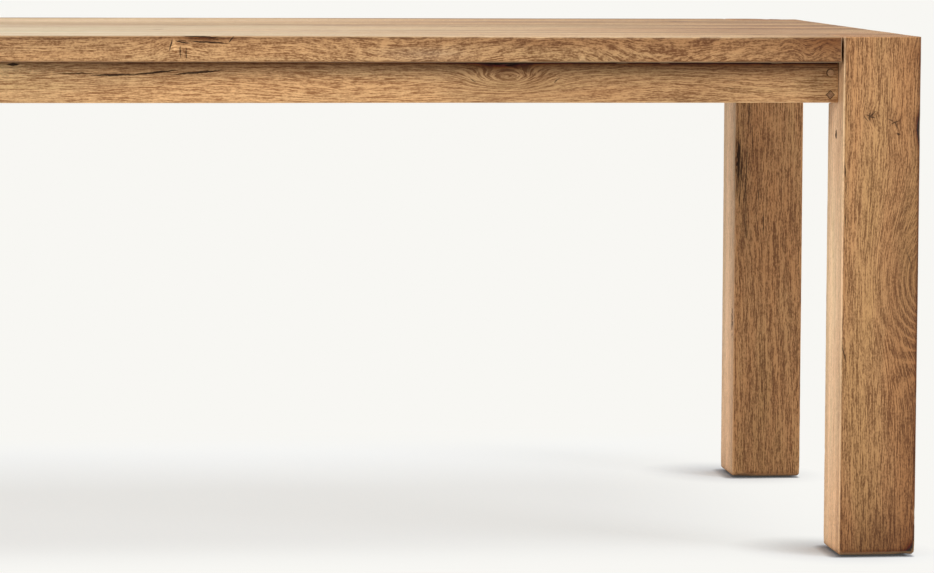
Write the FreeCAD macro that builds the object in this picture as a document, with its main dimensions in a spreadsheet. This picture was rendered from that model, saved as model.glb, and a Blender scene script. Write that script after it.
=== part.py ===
"""Parsons dining table in solid oak: four square legs that rise flush with a planked top.

Frame: +X along the table, +Y from the front to the back, +Z up. The origin is on the floor, at the
centre of the table's footprint. Lengths are millimetres.

Each corner of the table has a frame of its own, (u, v): u runs from that corner along one side of
the table, and v runs inwards from the same side. A quarter turn carries one corner's frame to the
next, so a piece drawn once for a corner or a side fits all four.

How it is made:
  * the top is a row of planks, joined edge to edge with loose splines that stop short of the ends;
    the two edge planks end at the legs, with a gap all round each leg for the top to move in
  * each leg is held by two loose tenons, which a round peg and a square peg lock in each apron, and
    by a hanger bolt that draws the leg to a corner block
  * cross rails join the long aprons and carry the planks on screws in slots
  * wooden buttons in a groove along every apron hold the top down
  * a nailed glide keeps each leg off the floor
"""

import FreeCAD, Part
import os
import re

import Sketcher

SIZES = [
    ("table_length", 2743, "overall, along X"),
    ("table_width", 1016, "overall, along Y"),
    ("table_height", 762, "floor to the top's upper face"),
    ("leg_side", 114, "square section of a leg"),
    ("leg_gap", 3, "gap between a leg and the planks round it"),
    ("leg_arris", 3, "radius worn on a leg's edges"),
    ("leg_flat", 20, "how far the flat for the hanger bolt cuts into each face of the leg"),
    ("top_thickness", 38, "thickness of the planks"),
    ("plank_arris", 2, "radius worn on a plank's edges"),
    ("spline_width", 24, "across a seam, half of it in each plank"),
    ("spline_thickness", 8, "upright thickness of a spline"),
    ("spline_stop", 45, "how far a spline stops short of the plank's end"),
    ("apron_setback", 38, "outer face of a leg to the outer face of an apron"),
    ("apron_thickness", 32, "thickness of an apron"),
    ("apron_height", 60, "upright height of an apron"),
    ("apron_arris", 1.5, "radius worn on an apron's edges"),
    ("groove_height", 10, "button groove, upright"),
    ("groove_depth", 8, "button groove, into the apron"),
    ("groove_drop", 12, "underside of the top to the button groove"),
    ("tenon_in_leg", 32, "depth of a loose tenon in the leg"),
    ("tenon_in_apron", 32, "depth of a loose tenon in the apron"),
    ("tenon_thickness", 11, "loose tenon, across the apron"),
    ("tenon_shoulder", 5, "wood of the apron over and under a loose tenon"),
    ("peg_from_leg", 12, "face of the leg to the middle of the pegs"),
    ("round_peg_drop", 16, "underside of the top to the round peg"),
    ("round_peg_diameter", 9.5, "diameter of the round peg"),
    ("square_peg_rise", 12, "foot of the apron to the square peg"),
    ("square_peg_side", 7.5, "side of the square peg, which stands on one corner"),
    ("peg_proud", 0.6, "how far a peg stands out of the apron"),
    ("block_rise", 14, "foot of the apron to the foot of a corner block"),
    ("block_thickness", 34, "corner block, along the bolt"),
    ("block_gap", 5, "leg's flat to the corner block, closed by the bolt"),
    ("block_screw_wood", 14, "wood of the block under a screw head"),
    ("block_screw_seat", 1, "how deep the seat of a screw head is cut, at its middle"),
    ("block_screw_margin", 12, "corner block's upper and lower face to its screws"),
    ("bolt_diameter", 8, "hanger bolt"),
    ("bolt_clearance", 1, "how much wider than the bolt its hole in the block is"),
    ("bolt_in_leg", 50, "depth of the hanger bolt in the leg"),
    ("bolt_tail", 5, "hanger bolt beyond its nut"),
    ("washer_diameter", 24, "washer on the hanger bolt"),
    ("washer_thickness", 2, "washer on the hanger bolt"),
    ("nut_across", 13, "hexagon nut, across its flats"),
    ("nut_height", 6.5, "hexagon nut"),
    ("screw_diameter", 5, "shank of every wood screw"),
    ("screw_clearance", 0.6, "how much wider than the shank a hole is that lets it through"),
    ("screw_bite", 20, "depth of a wood screw in the wood that it holds"),
    ("head_diameter", 10, "pan head of a wood screw"),
    ("head_height", 3, "pan head of a wood screw"),
    ("head_clearance", 1.5, "how much wider than the head its counterbore is"),
    ("rail_width", 60, "cross rail, along X"),
    ("rail_rise", 16, "foot of the apron to the foot of a cross rail"),
    ("rail_tenon_length", 12, "stub tenon of a cross rail"),
    ("rail_tenon_width", 36, "stub tenon of a cross rail, along X"),
    ("rail_shoulder", 10, "wood of a cross rail over and under its stub tenon"),
    ("rail_counterbore", 20, "depth of a screw's counterbore in a cross rail"),
    ("slot_play", 8, "how far a screw may travel in the rail's slot"),
    ("button_length", 38, "button, inwards from the apron"),
    ("button_width", 36, "button, along the apron"),
    ("button_lip", 2, "wood of a button under its tongue"),
    ("button_play", 1, "button to the apron, for the top to move"),
    ("button_screw_reach", 20, "apron to the button's screw"),
    ("glide_diameter", 36, "glide under a leg"),
    ("glide_thickness", 3, "glide under a leg"),
    ("nail_diameter", 3.2, "nail of a glide"),
    ("nail_in_leg", 22, "depth of the nail in the leg"),
    ("nail_head_diameter", 7, "countersunk head of the nail"),
    ("nail_head_height", 1.5, "countersunk head of the nail"),
]
SIZE_NAMES = {name for name, _, _ in SIZES}
INNER_PLANKS = 5
RAILS = 3

# What follows is worked out from the sheet. Each value is an expression in the sheet's own names.
ROOT2 = "sqrt(2)"
UNDER_TOP = "(table_height - top_thickness)"
APRON_FOOT = f"({UNDER_TOP} - apron_height)"
APRON_BACK = "(apron_setback + apron_thickness)"
TENON_MIDDLE = "(apron_setback + apron_thickness / 2)"
TENON_HEIGHT = "(apron_height - 2 * tenon_shoulder)"
TENON_FOOT = f"({APRON_FOOT} + tenon_shoulder)"
PEG_RISES = {"round": "(apron_height - round_peg_drop)", "square": "square_peg_rise"}
PEG_LENGTH = "(apron_thickness + peg_proud)"

# The top's planks, from the front face or the left end.
PLANK_START = "(leg_side + leg_gap)"
PLANK_WIDTH = f"((table_width - 2 * {PLANK_START}) / {INNER_PLANKS})"
EDGE_PLANK_LENGTH = f"(table_length - 2 * {PLANK_START})"
SPLINE_RISE = "((top_thickness - spline_thickness) / 2)"

# The corner block's two long faces are lines u + v = constant, and its screws stand at two places
# along it, one for each apron. REACH is a distance from the corner along the diagonal.
BLOCK_HEIGHT = "(apron_height - block_rise)"
BLOCK_FOOT = f"({UNDER_TOP} - {BLOCK_HEIGHT})"
BLOCK_OUTER = f"(2 * leg_side - leg_flat + block_gap * {ROOT2})"
BLOCK_INNER = f"({BLOCK_OUTER} + block_thickness * {ROOT2})"
BLOCK_SHELF = f"({APRON_BACK} + block_screw_wood)"
BLOCK_SCREW = f"({BLOCK_INNER} - {BLOCK_SHELF} - block_screw_seat)"
BLOCK_SCREW_RISES = ["block_screw_margin", f"({BLOCK_HEIGHT} - block_screw_margin)"]
FLAT_REACH = f"((2 * leg_side - leg_flat) / {ROOT2})"
BLOCK_REACH = f"({BLOCK_INNER} / {ROOT2})"

RAIL_HEIGHT = "(apron_height - rail_rise)"
RAIL_SPAN = f"(table_width - 2 * {APRON_BACK})"
RAIL_START = f"({APRON_BACK} - rail_tenon_length)"
RAIL_TENON_HEIGHT = f"({RAIL_HEIGHT} - 2 * rail_shoulder)"
RAIL_SCREW_WOOD = f"({RAIL_HEIGHT} - rail_counterbore)"

BUTTON_HEIGHT = "(groove_drop + groove_height + button_lip)"
BUTTON_SCREW = f"({APRON_BACK} + button_screw_reach)"
EDGE_SCREW = f"(({APRON_BACK} + {PLANK_START}) / 2)"

SHANK_HOLE = "(screw_diameter + screw_clearance)"
COUNTERBORE = "(head_diameter + head_clearance)"

# corner, side that starts there, sign of x, sign of y, turn in degrees, length of the side
FRAMES = [
    ("front_left", "front", -1, -1, 0, "table_length"),
    ("front_right", "right", 1, -1, 90, "table_width"),
    ("back_right", "back", 1, 1, 180, "table_length"),
    ("back_left", "left", -1, 1, 270, "table_width"),
]
UPWARDS = FreeCAD.Rotation()
ALONG_U = FreeCAD.Rotation(FreeCAD.Vector(0, 1, 0), 90)
AGAINST_U = FreeCAD.Rotation(FreeCAD.Vector(0, 1, 0), -90)
ALONG_V = FreeCAD.Rotation(FreeCAD.Vector(1, 0, 0), -90)
AGAINST_V = FreeCAD.Rotation(FreeCAD.Vector(1, 0, 0), 90)
DIAGONAL = FreeCAD.Rotation(FreeCAD.Vector(0, 0, 1), 45) * ALONG_U

doc = FreeCAD.newDocument("parsons_table")
nodes = []
cuts = []


# ---------------------------------------------------------------- the sheet and its expressions


def make_sheet():
    """Keep every driving size in a sheet, under a name of its own."""
    sheet = doc.addObject("Spreadsheet::Sheet", "Dims")
    for row, (name, value, meaning) in enumerate(SIZES, start=1):
        sheet.set(f"A{row}", name)
        sheet.set(f"B{row}", str(value))
        sheet.set(f"C{row}", meaning)
        sheet.setAlias(f"B{row}", name)
    doc.recompute()


def sized(text):
    """Point each size name in an expression at its cell."""
    return re.sub(r"[a-z]+(_[a-z]+)*", lambda m: f"Dims.{m[0]}" if m[0] in SIZE_NAMES else m[0], text)


def bind(thing, **properties):
    """Bind properties of an object to expressions on the sheet."""
    for name, text in properties.items():
        thing.setExpression(name, sized(text))


# ---------------------------------------------------------------- placing


def corner_point(frame, u, v):
    """Row-frame x and y of a point (u, v) in a corner's frame."""
    _, _, x_sign, y_sign, turn, _ = frame
    along, across = {0: (u, v), 90: (f"-({v})", u), 180: (f"-({u})", f"-({v})"), 270: (v, f"-({u})")}[turn]
    return f"{x_sign} * table_length / 2 + {along}", f"{y_sign} * table_width / 2 + {across}"


def place(thing, frame, u, v, z, tilt=UPWARDS):
    """Stand an object at (u, v, z) of a corner's frame, with its own Z tilted in that frame."""
    turn = FreeCAD.Rotation(FreeCAD.Vector(0, 0, 1), frame[4])
    thing.Placement = FreeCAD.Placement(FreeCAD.Vector(), turn * tilt)
    for axis, text in zip("xyz", (*corner_point(frame, u, v), z)):
        thing.setExpression(f"Placement.Base.{axis}", sized(text))


def keep(thing, label):
    """Mark an object as a finished piece of the table, and give it its name."""
    thing.Label = label
    nodes.append(thing)


def group(label, members):
    """Keep several like pieces as one node of separate solids."""
    compound = doc.addObject("Part::Compound", label)
    compound.Links = members
    keep(compound, label)


# ---------------------------------------------------------------- sketches and features


def new_body(label):
    return doc.addObject("PartDesign::Body", label)


def new_sketch(body, plane, raised="0"):
    """Start a sketch on one of the body's own planes, raised along the plane's normal."""
    sketch = body.newObject("Sketcher::SketchObject", f"{body.Name}_sketch")
    origin_plane = next(f for f in body.Origin.OriginFeatures if f.Role == plane)
    sketch.AttachmentSupport = [(origin_plane, "")]
    sketch.MapMode = "FlatFace"
    sketch.setExpression("AttachmentOffset.Base.z", sized(raised))
    return sketch


def diagonal_sketch(body, middle, rise):
    """Start a sketch that faces along the corner's diagonal, at (middle, middle) and some height."""
    sketch = new_sketch(body, "XZ_Plane")
    facing = FreeCAD.Rotation(FreeCAD.Vector(0, 1, 0), 135)
    sketch.AttachmentOffset = FreeCAD.Placement(FreeCAD.Vector(), facing)
    for axis, text in zip("xyz", (middle, rise, f"-({middle})")):
        sketch.setExpression(f"AttachmentOffset.Base.{axis}", sized(text))
    return sketch


def hold(sketch, name, constraint, text):
    """Add a named constraint whose value follows the sheet."""
    constraint.Name = name
    sketch.addConstraint(constraint)
    sketch.setExpression(f"Constraints.{name}", sized(text))


def hold_point(sketch, name, shape, end, x, y):
    """Hold one point of a shape at (x, y) of its sketch."""
    hold(sketch, f"{name}_x", Sketcher.Constraint("DistanceX", -1, 1, shape, end, 1.0), x)
    hold(sketch, f"{name}_y", Sketcher.Constraint("DistanceY", -1, 1, shape, end, 1.0), y)


def polygon(sketch, corners):
    """Draw a closed outline through corners, each a pair of expressions."""
    first = sketch.GeometryCount
    count = len(corners)
    step = 360 / count
    spokes = [FreeCAD.Rotation(FreeCAD.Vector(0, 0, 1), step * i) for i in range(count)]
    ring = [spoke.multVec(FreeCAD.Vector(1, 0, 0)) for spoke in spokes]
    for i in range(count):
        sketch.addGeometry(Part.LineSegment(ring[i], ring[(i + 1) % count]), False)
    for i in range(count):
        sketch.addConstraint(Sketcher.Constraint("Coincident", first + i, 2, first + (i + 1) % count, 1))
    for i, (x, y) in enumerate(corners):
        hold_point(sketch, f"corner{first + i}", first + i, 1, x, y)


def rectangle(sketch, left, low, width, height):
    """Draw a rectangle from its lower left corner."""
    right, high = f"{left} + {width}", f"{low} + {height}"
    polygon(sketch, [(left, low), (right, low), (right, high), (left, high)])


def circle(sketch, x, y, diameter):
    """Draw a circle round (x, y)."""
    index = sketch.addGeometry(Part.Circle(FreeCAD.Vector(), FreeCAD.Vector(0, 0, 1), 1.0), False)
    hold_point(sketch, f"middle{index}", index, 3, x, y)
    hold(sketch, f"across{index}", Sketcher.Constraint("Diameter", index, 2.0), diameter)


def pad(body, sketch, length):
    """Raise a sketch along its normal."""
    feature = body.newObject("PartDesign::Pad", f"{body.Name}_pad")
    feature.Profile = sketch
    bind(feature, Length=length)
    return feature


def pocket(body, sketch, depth, along_normal=False):
    """Sink a sketch into the body, against its normal unless told otherwise."""
    before = body.Tip
    feature = body.newObject("PartDesign::Pocket", f"{body.Name}_pocket")
    feature.Profile = sketch
    feature.Reversed = along_normal
    bind(feature, Length=depth)
    cuts.append((feature, before))


def stick(label, length, width, height, arris):
    """Start a piece from a squared stick of wood along its own X, with every edge worn."""
    body = new_body(label)
    plan = new_sketch(body, "XY_Plane")
    rectangle(plan, "0", "0", length, width)
    squared = pad(body, plan, height)
    worn = body.newObject("PartDesign::Fillet", f"{body.Name}_arris")
    worn.Base = (squared, [])
    worn.UseAllEdges = True
    bind(worn, Radius=arris)
    return body


# ---------------------------------------------------------------- plain shapes for fasteners


def cylinder(name, diameter, height):
    """A round bar along its own Z."""
    shape = doc.addObject("Part::Cylinder", name)
    bind(shape, Radius=f"{diameter} / 2", Height=height)
    return shape


def prism(name, sides, reach, height):
    """A bar of regular section along its own Z, with one corner at reach along its own X."""
    shape = doc.addObject("Part::Prism", name)
    shape.Polygon = sides
    bind(shape, Circumradius=reach, Height=height)
    return shape


def cut(blank, tool):
    """A blank with another shape taken out of it."""
    result = doc.addObject("Part::Cut", f"{blank.Name}_bored")
    result.Base = blank
    result.Tool = tool
    return result


def wood_screw(name, wood):
    """A pan-headed screw along its own Z, from the face under its head; wood is what it fastens."""
    shank = cylinder(f"{name}_shank", "screw_diameter", f"{wood} + screw_bite")
    head = cylinder(f"{name}_head", "head_diameter", "head_height")
    head.setExpression("Placement.Base.z", sized("-head_height"))
    whole = doc.addObject("Part::Fuse", name)
    whole.Base = shank
    whole.Tool = head
    return whole


def peg(name, kind):
    """A round peg, or a square one that lies with a corner along its own X."""
    if kind == "round":
        return cylinder(name, "round_peg_diameter", PEG_LENGTH)
    return prism(name, 4, f"square_peg_side / {ROOT2}", PEG_LENGTH)


# ---------------------------------------------------------------- stations along the table


def rail_station(i):
    """Middle of cross rail i, from the table's left end."""
    return f"(leg_side + (table_length - 2 * leg_side) * {i + 1} / {RAILS + 1})"


def long_button_station(i):
    """Middle of button i of a long apron: halfway between the rails, or a rail and a leg."""
    return f"(leg_side + (table_length - 2 * leg_side) * {2 * i + 1} / {2 * (RAILS + 1)})"


def plank_middle(i):
    """Middle of inner plank i, from the table's front face."""
    return f"({PLANK_START} + {i + 0.5} * {PLANK_WIDTH})"


def button_stations(frame):
    """Middles of a side's buttons, from the corner that the side starts at."""
    if frame[5] == "table_length":
        return [long_button_station(i) for i in range(RAILS + 1)]
    return [plank_middle(i) for i in range(1, INNER_PLANKS - 1)]


def rail_screw_points():
    """A rail's screws, one in each plank, from the table's front face."""
    planks = [plank_middle(i) for i in range(INNER_PLANKS)]
    return [EDGE_SCREW, *planks, f"(table_width - {EDGE_SCREW})"]


# ---------------------------------------------------------------- legs, aprons and their joints


def make_leg(frame):
    """A square post, mortised for two tenons, with a flat and a hole for the hanger bolt."""
    body = stick(f"leg_{frame[0]}", "leg_side", "leg_side", "table_height - glide_thickness", "leg_arris")
    mortise_left = f"{TENON_MIDDLE} - tenon_thickness / 2"
    mortise_foot = f"{TENON_FOOT} - glide_thickness"
    for plane, raised, along_normal in (("YZ_Plane", "leg_side", False), ("XZ_Plane", "-leg_side", True)):
        mouth = new_sketch(body, plane, raised)
        rectangle(mouth, mortise_left, mortise_foot, "tenon_thickness", TENON_HEIGHT)
        pocket(body, mouth, "tenon_in_leg", along_normal)

    flat = new_sketch(body, "XY_Plane", f"{UNDER_TOP} - glide_thickness")
    flat_start = "leg_side - leg_flat"
    polygon(flat, [("leg_side", "leg_side"), (flat_start, "leg_side"), ("leg_side", flat_start)])
    pocket(body, flat, "apron_height")

    bolt_rise = f"{BLOCK_FOOT} + {BLOCK_HEIGHT} / 2 - glide_thickness"
    bolt_mouth = diagonal_sketch(body, "leg_side - leg_flat / 2", bolt_rise)
    circle(bolt_mouth, "0", "0", "bolt_diameter")
    pocket(body, bolt_mouth, "bolt_in_leg")

    nail_mouth = new_sketch(body, "XY_Plane")
    circle(nail_mouth, "leg_side / 2", "leg_side / 2", "nail_diameter")
    pocket(body, nail_mouth, "nail_in_leg", along_normal=True)

    place(body, frame, "0", "0", "glide_thickness")
    keep(body, f"leg_{frame[0]}")


def make_apron(frame):
    """A rail between two legs, with mortised ends, peg holes, a button groove and screw holes."""
    side, side_length = frame[1], frame[5]
    length = f"({side_length} - 2 * leg_side)"
    body = stick(f"apron_{side}", length, "apron_thickness", "apron_height", "apron_arris")

    mortise_left = "(apron_thickness - tenon_thickness) / 2"
    for raised, along_normal in (("0", True), (length, False)):
        mouth = new_sketch(body, "YZ_Plane", raised)
        rectangle(mouth, mortise_left, "tenon_shoulder", "tenon_thickness", TENON_HEIGHT)
        pocket(body, mouth, "tenon_in_apron", along_normal)

    bores = new_sketch(body, "XZ_Plane")
    reach = f"square_peg_side / {ROOT2}"
    low, middle, high = (f"{PEG_RISES['square']}{shift}" for shift in (f" - {reach}", "", f" + {reach}"))
    for x in ("peg_from_leg", f"({length} - peg_from_leg)"):
        circle(bores, x, PEG_RISES["round"], "round_peg_diameter")
        polygon(bores, [(f"{x} - {reach}", middle), (x, low), (f"{x} + {reach}", middle), (x, high)])
    pocket(body, bores, "apron_thickness")

    groove = new_sketch(body, "YZ_Plane")
    groove_foot = "apron_height - groove_drop - groove_height"
    rectangle(groove, "apron_thickness - groove_depth", groove_foot, "groove_depth", "groove_height")
    pocket(body, groove, length, along_normal=True)

    pilots = new_sketch(body, "XZ_Plane", "-apron_thickness")
    first = f"({BLOCK_SCREW} - leg_side)"
    for x in (first, f"{length} - {first}"):
        for rise in BLOCK_SCREW_RISES:
            circle(pilots, x, f"block_rise + {rise}", "screw_diameter")
    pocket(body, pilots, "screw_bite", along_normal=True)

    if side_length == "table_length":
        mortises = new_sketch(body, "XZ_Plane", "-apron_thickness")
        foot = "rail_rise + rail_shoulder"
        for i in range(RAILS):
            left = f"{rail_station(i)} - leg_side - rail_tenon_width / 2"
            rectangle(mortises, left, foot, "rail_tenon_width", RAIL_TENON_HEIGHT)
        pocket(body, mortises, "rail_tenon_length", along_normal=True)

    place(body, frame, "leg_side", "apron_setback", APRON_FOOT)
    keep(body, f"apron_{side}")


def make_tenons(frame):
    """The two loose tenons of a leg, one into each apron, bored for the pegs that lock them."""
    start = "leg_side - tenon_in_leg"
    edge = f"{TENON_MIDDLE} - tenon_thickness / 2"
    length = "tenon_in_leg + tenon_in_apron"
    peg_u = "leg_side + peg_from_leg"
    peg_v = "apron_setback - peg_proud"

    members = []
    for way, tilt in (("u", ALONG_V), ("v", ALONG_U)):
        blank = doc.addObject("Part::Box", f"tenon_{way}_{frame[0]}")
        bores = [peg(f"{blank.Name}_{kind}_bore", kind) for kind in PEG_RISES]
        spot, bore_spot = (start, edge), (peg_u, peg_v)
        bind(blank, Length=length, Width="tenon_thickness", Height=TENON_HEIGHT)
        if way == "v":
            spot, bore_spot = spot[::-1], bore_spot[::-1]
            bind(blank, Length="tenon_thickness", Width=length)
        place(blank, frame, *spot, TENON_FOOT)
        for bore, rise in zip(bores, PEG_RISES.values()):
            place(bore, frame, *bore_spot, f"{APRON_FOOT} + {rise}", tilt)
        both = doc.addObject("Part::MultiFuse", f"{blank.Name}_bores")
        both.Shapes = bores
        members.append(cut(blank, both))
    group(f"loose_tenons_{frame[0]}", members)


def make_pegs(frame):
    """Two round and two square pegs, a pair at each end of an apron."""
    side, side_length = frame[1], frame[5]
    members = []
    for end, u in enumerate(("leg_side + peg_from_leg", f"{side_length} - leg_side - peg_from_leg")):
        for kind, rise in PEG_RISES.items():
            member = peg(f"{kind}_peg_{side}_{end}", kind)
            place(member, frame, u, "apron_setback - peg_proud", f"{APRON_FOOT} + {rise}", ALONG_V)
            members.append(member)
    group(f"pegs_{side}", members)


# ---------------------------------------------------------------- corner blocks and their fasteners


def make_block(frame):
    """A block across the corner, between the aprons, that takes the pull of the hanger bolt."""
    body = new_body(f"corner_block_{frame[0]}")
    plan = new_sketch(body, "XY_Plane")
    near, far = f"{BLOCK_OUTER} - {APRON_BACK}", f"{BLOCK_INNER} - {APRON_BACK}"
    polygon(plan, [(near, APRON_BACK), (far, APRON_BACK), (APRON_BACK, far), (APRON_BACK, near)])
    pad(body, plan, BLOCK_HEIGHT)

    bolt_mouth = diagonal_sketch(body, f"{BLOCK_INNER} / 2", f"{BLOCK_HEIGHT} / 2")
    circle(bolt_mouth, "0", "0", "bolt_diameter + bolt_clearance")
    pocket(body, bolt_mouth, "block_thickness")

    for plane, raised, inwards in (("XZ_Plane", f"-{BLOCK_SHELF}", True), ("YZ_Plane", BLOCK_SHELF, False)):
        for diameter, depth, along_normal in (
            (SHANK_HOLE, "block_screw_wood", inwards),
            (COUNTERBORE, "block_thickness", not inwards),
        ):
            mouth = new_sketch(body, plane, raised)
            for rise in BLOCK_SCREW_RISES:
                circle(mouth, BLOCK_SCREW, rise, diameter)
            pocket(body, mouth, depth, along_normal)

    place(body, frame, "0", "0", BLOCK_FOOT)
    keep(body, f"corner_block_{frame[0]}")


def make_block_screws():
    """Four screws for each corner block, two into each apron."""
    screws = []
    for frame in FRAMES:
        for level, rise in enumerate(BLOCK_SCREW_RISES):
            for way, spot, tilt in (
                ("u", (BLOCK_SCREW, BLOCK_SHELF), AGAINST_V),
                ("v", (BLOCK_SHELF, BLOCK_SCREW), AGAINST_U),
            ):
                screw = wood_screw(f"block_screw_{frame[0]}_{way}{level}", "block_screw_wood")
                place(screw, frame, *spot, f"{BLOCK_FOOT} + {rise}", tilt)
                screws.append(screw)
    group("corner_block_screws", screws)


def make_hanger_bolts():
    """One hanger bolt, washer and nut at each corner, along the corner's diagonal."""
    rise = f"{BLOCK_FOOT} + {BLOCK_HEIGHT} / 2"
    bolt_start = f"({FLAT_REACH} - bolt_in_leg)"
    nut_start = f"({BLOCK_REACH} + washer_thickness)"
    bolt_length = f"{nut_start} + nut_height + bolt_tail - {bolt_start}"
    bolts, washers, nuts = [], [], []
    for frame in FRAMES:
        corner = frame[0]
        bolt = cylinder(f"bolt_{corner}", "bolt_diameter", bolt_length)
        disc = cylinder(f"disc_{corner}", "washer_diameter", "washer_thickness")
        hexagon = prism(f"hexagon_{corner}", 6, "nut_across / sqrt(3)", "nut_height")
        for piece, reach in ((bolt, bolt_start), (disc, BLOCK_REACH), (hexagon, nut_start)):
            place(piece, frame, f"{reach} / {ROOT2}", f"{reach} / {ROOT2}", rise, DIAGONAL)
        bolts.append(bolt)
        washers.append(cut(disc, bolt))
        nuts.append(cut(hexagon, bolt))
    group("hanger_bolts", bolts)
    group("hanger_washers", washers)
    group("hanger_nuts", nuts)


# ---------------------------------------------------------------- the top


def drill_underside(body, points):
    """Sink pilot holes into the underside of a plank."""
    pilots = new_sketch(body, "XY_Plane")
    for x, y in points:
        circle(pilots, x, y, "screw_diameter")
    pocket(body, pilots, "screw_bite", along_normal=True)


def groove_front(body, stop, length):
    """Cut a stopped groove for a spline into a plank's front edge."""
    mouth = new_sketch(body, "XZ_Plane")
    rectangle(mouth, stop, SPLINE_RISE, f"{length} - 2 * {stop}", "spline_thickness")
    pocket(body, mouth, "spline_width / 2")


def groove_back(body, stop, length, width):
    """Cut a stopped groove for a spline into a plank's back edge."""
    mouth = new_sketch(body, "XZ_Plane", f"-{width}")
    rectangle(mouth, stop, SPLINE_RISE, f"{length} - 2 * {stop}", "spline_thickness")
    pocket(body, mouth, "spline_width / 2", along_normal=True)


def spline_start(seam):
    """How far the groove of a seam is from the table's end; the outermost seams start at a leg."""
    return f"({PLANK_START} + spline_stop)" if seam in (0, INNER_PLANKS) else "spline_stop"


def make_edge_plank(frame):
    """The plank along a long side: it ends at the legs, and its edge is flush with their faces."""
    name = f"top_plank_{frame[1]}_edge"
    body = stick(name, EDGE_PLANK_LENGTH, PLANK_START, "top_thickness", "plank_arris")
    groove_back(body, "spline_stop", EDGE_PLANK_LENGTH, PLANK_START)
    buttons = [(f"{station} - {PLANK_START}", BUTTON_SCREW) for station in button_stations(frame)]
    rails = [(f"{rail_station(i)} - {PLANK_START}", EDGE_SCREW) for i in range(RAILS)]
    drill_underside(body, buttons + rails)
    place(body, frame, PLANK_START, "0", UNDER_TOP)
    keep(body, name)


def make_inner_plank(i):
    """A plank that runs the table's whole length, between the inner faces of the legs."""
    name = f"top_plank_{i + 1}"
    body = stick(name, "table_length", PLANK_WIDTH, "top_thickness", "plank_arris")
    groove_front(body, spline_start(i), "table_length")
    groove_back(body, spline_start(i + 1), "table_length", PLANK_WIDTH)
    middle = f"{PLANK_WIDTH} / 2"
    points = [(rail_station(k), middle) for k in range(RAILS)]
    if 0 < i < INNER_PLANKS - 1:
        points += [(BUTTON_SCREW, middle), (f"table_length - {BUTTON_SCREW}", middle)]
    drill_underside(body, points)
    place(body, FRAMES[0], "0", f"{PLANK_START} + {i} * {PLANK_WIDTH}", UNDER_TOP)
    keep(body, name)


def make_spline(seam):
    """The loose spline of a seam; seams are counted from the front."""
    spline = doc.addObject("Part::Box", f"spline_{seam + 1}")
    length = f"table_length - 2 * {spline_start(seam)}"
    bind(spline, Length=length, Width="spline_width", Height="spline_thickness")
    front = f"{PLANK_START} + {seam} * {PLANK_WIDTH} - spline_width / 2"
    place(spline, FRAMES[0], spline_start(seam), front, f"{UNDER_TOP} + {SPLINE_RISE}")
    keep(spline, f"spline_{seam + 1}")


# ---------------------------------------------------------------- what holds the top down


def make_rail(i):
    """A cross rail between the long aprons, with stub tenons and slots for its screws."""
    name = f"cross_rail_{i + 1}"
    body = new_body(name)
    plan = new_sketch(body, "XY_Plane")
    rectangle(plan, "0", "rail_tenon_length", "rail_width", RAIL_SPAN)
    pad(body, plan, RAIL_HEIGHT)
    tongue = new_sketch(body, "XY_Plane", "rail_shoulder")
    tongue_length = f"{RAIL_SPAN} + 2 * rail_tenon_length"
    rectangle(tongue, "(rail_width - rail_tenon_width) / 2", "0", "rail_tenon_width", tongue_length)
    pad(body, tongue, RAIL_TENON_HEIGHT)

    for across, raised, depth, along_normal in (
        (SHANK_HOLE, RAIL_HEIGHT, RAIL_HEIGHT, False),
        (COUNTERBORE, "0", "rail_counterbore", True),
    ):
        slots = new_sketch(body, "XY_Plane", raised)
        along = f"({across} + slot_play)"
        for y in rail_screw_points():
            front = f"{y} - {RAIL_START} - {along} / 2"
            rectangle(slots, f"(rail_width - {across}) / 2", front, across, along)
        pocket(body, slots, depth, along_normal)

    left = f"{rail_station(i)} - rail_width / 2"
    place(body, FRAMES[0], left, RAIL_START, f"{UNDER_TOP} - {RAIL_HEIGHT}")
    keep(body, name)


def make_rail_screws():
    """One screw through each rail into each plank."""
    screws = []
    for i in range(RAILS):
        for k, y in enumerate(rail_screw_points()):
            screw = wood_screw(f"rail_screw_{i}_{k}", RAIL_SCREW_WOOD)
            place(screw, FRAMES[0], rail_station(i), y, f"{UNDER_TOP} - {RAIL_SCREW_WOOD}")
            screws.append(screw)
    group("cross_rail_screws", screws)


def make_button(name):
    """A wooden button: a block whose tongue slides in the apron's groove."""
    body = new_body(name)
    profile = new_sketch(body, "YZ_Plane")
    face, back = "groove_depth + button_play", "groove_depth + button_play + button_length"
    tongue_foot, tongue_top = "button_lip", "button_lip + groove_height"
    tongue = [("button_play", tongue_top), ("button_play", tongue_foot)]
    block = [(face, "0"), (back, "0"), (back, BUTTON_HEIGHT), (face, BUTTON_HEIGHT)]
    polygon(profile, [*tongue, (face, tongue_foot), *block, (face, tongue_top)])
    pad(body, profile, "button_width")
    for diameter, depth in ((SHANK_HOLE, BUTTON_HEIGHT), (COUNTERBORE, "head_height")):
        mouth = new_sketch(body, "XY_Plane")
        circle(mouth, "button_width / 2", "groove_depth + button_screw_reach", diameter)
        pocket(body, mouth, depth, along_normal=True)
    return body


def make_buttons(frame):
    """The buttons of one apron."""
    side = frame[1]
    members = []
    for i, station in enumerate(button_stations(frame)):
        button = make_button(f"button_{side}_{i}")
        left = f"{station} - button_width / 2"
        place(button, frame, left, f"{APRON_BACK} - groove_depth", f"{UNDER_TOP} - {BUTTON_HEIGHT}")
        members.append(button)
    group(f"top_buttons_{side}", members)


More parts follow.
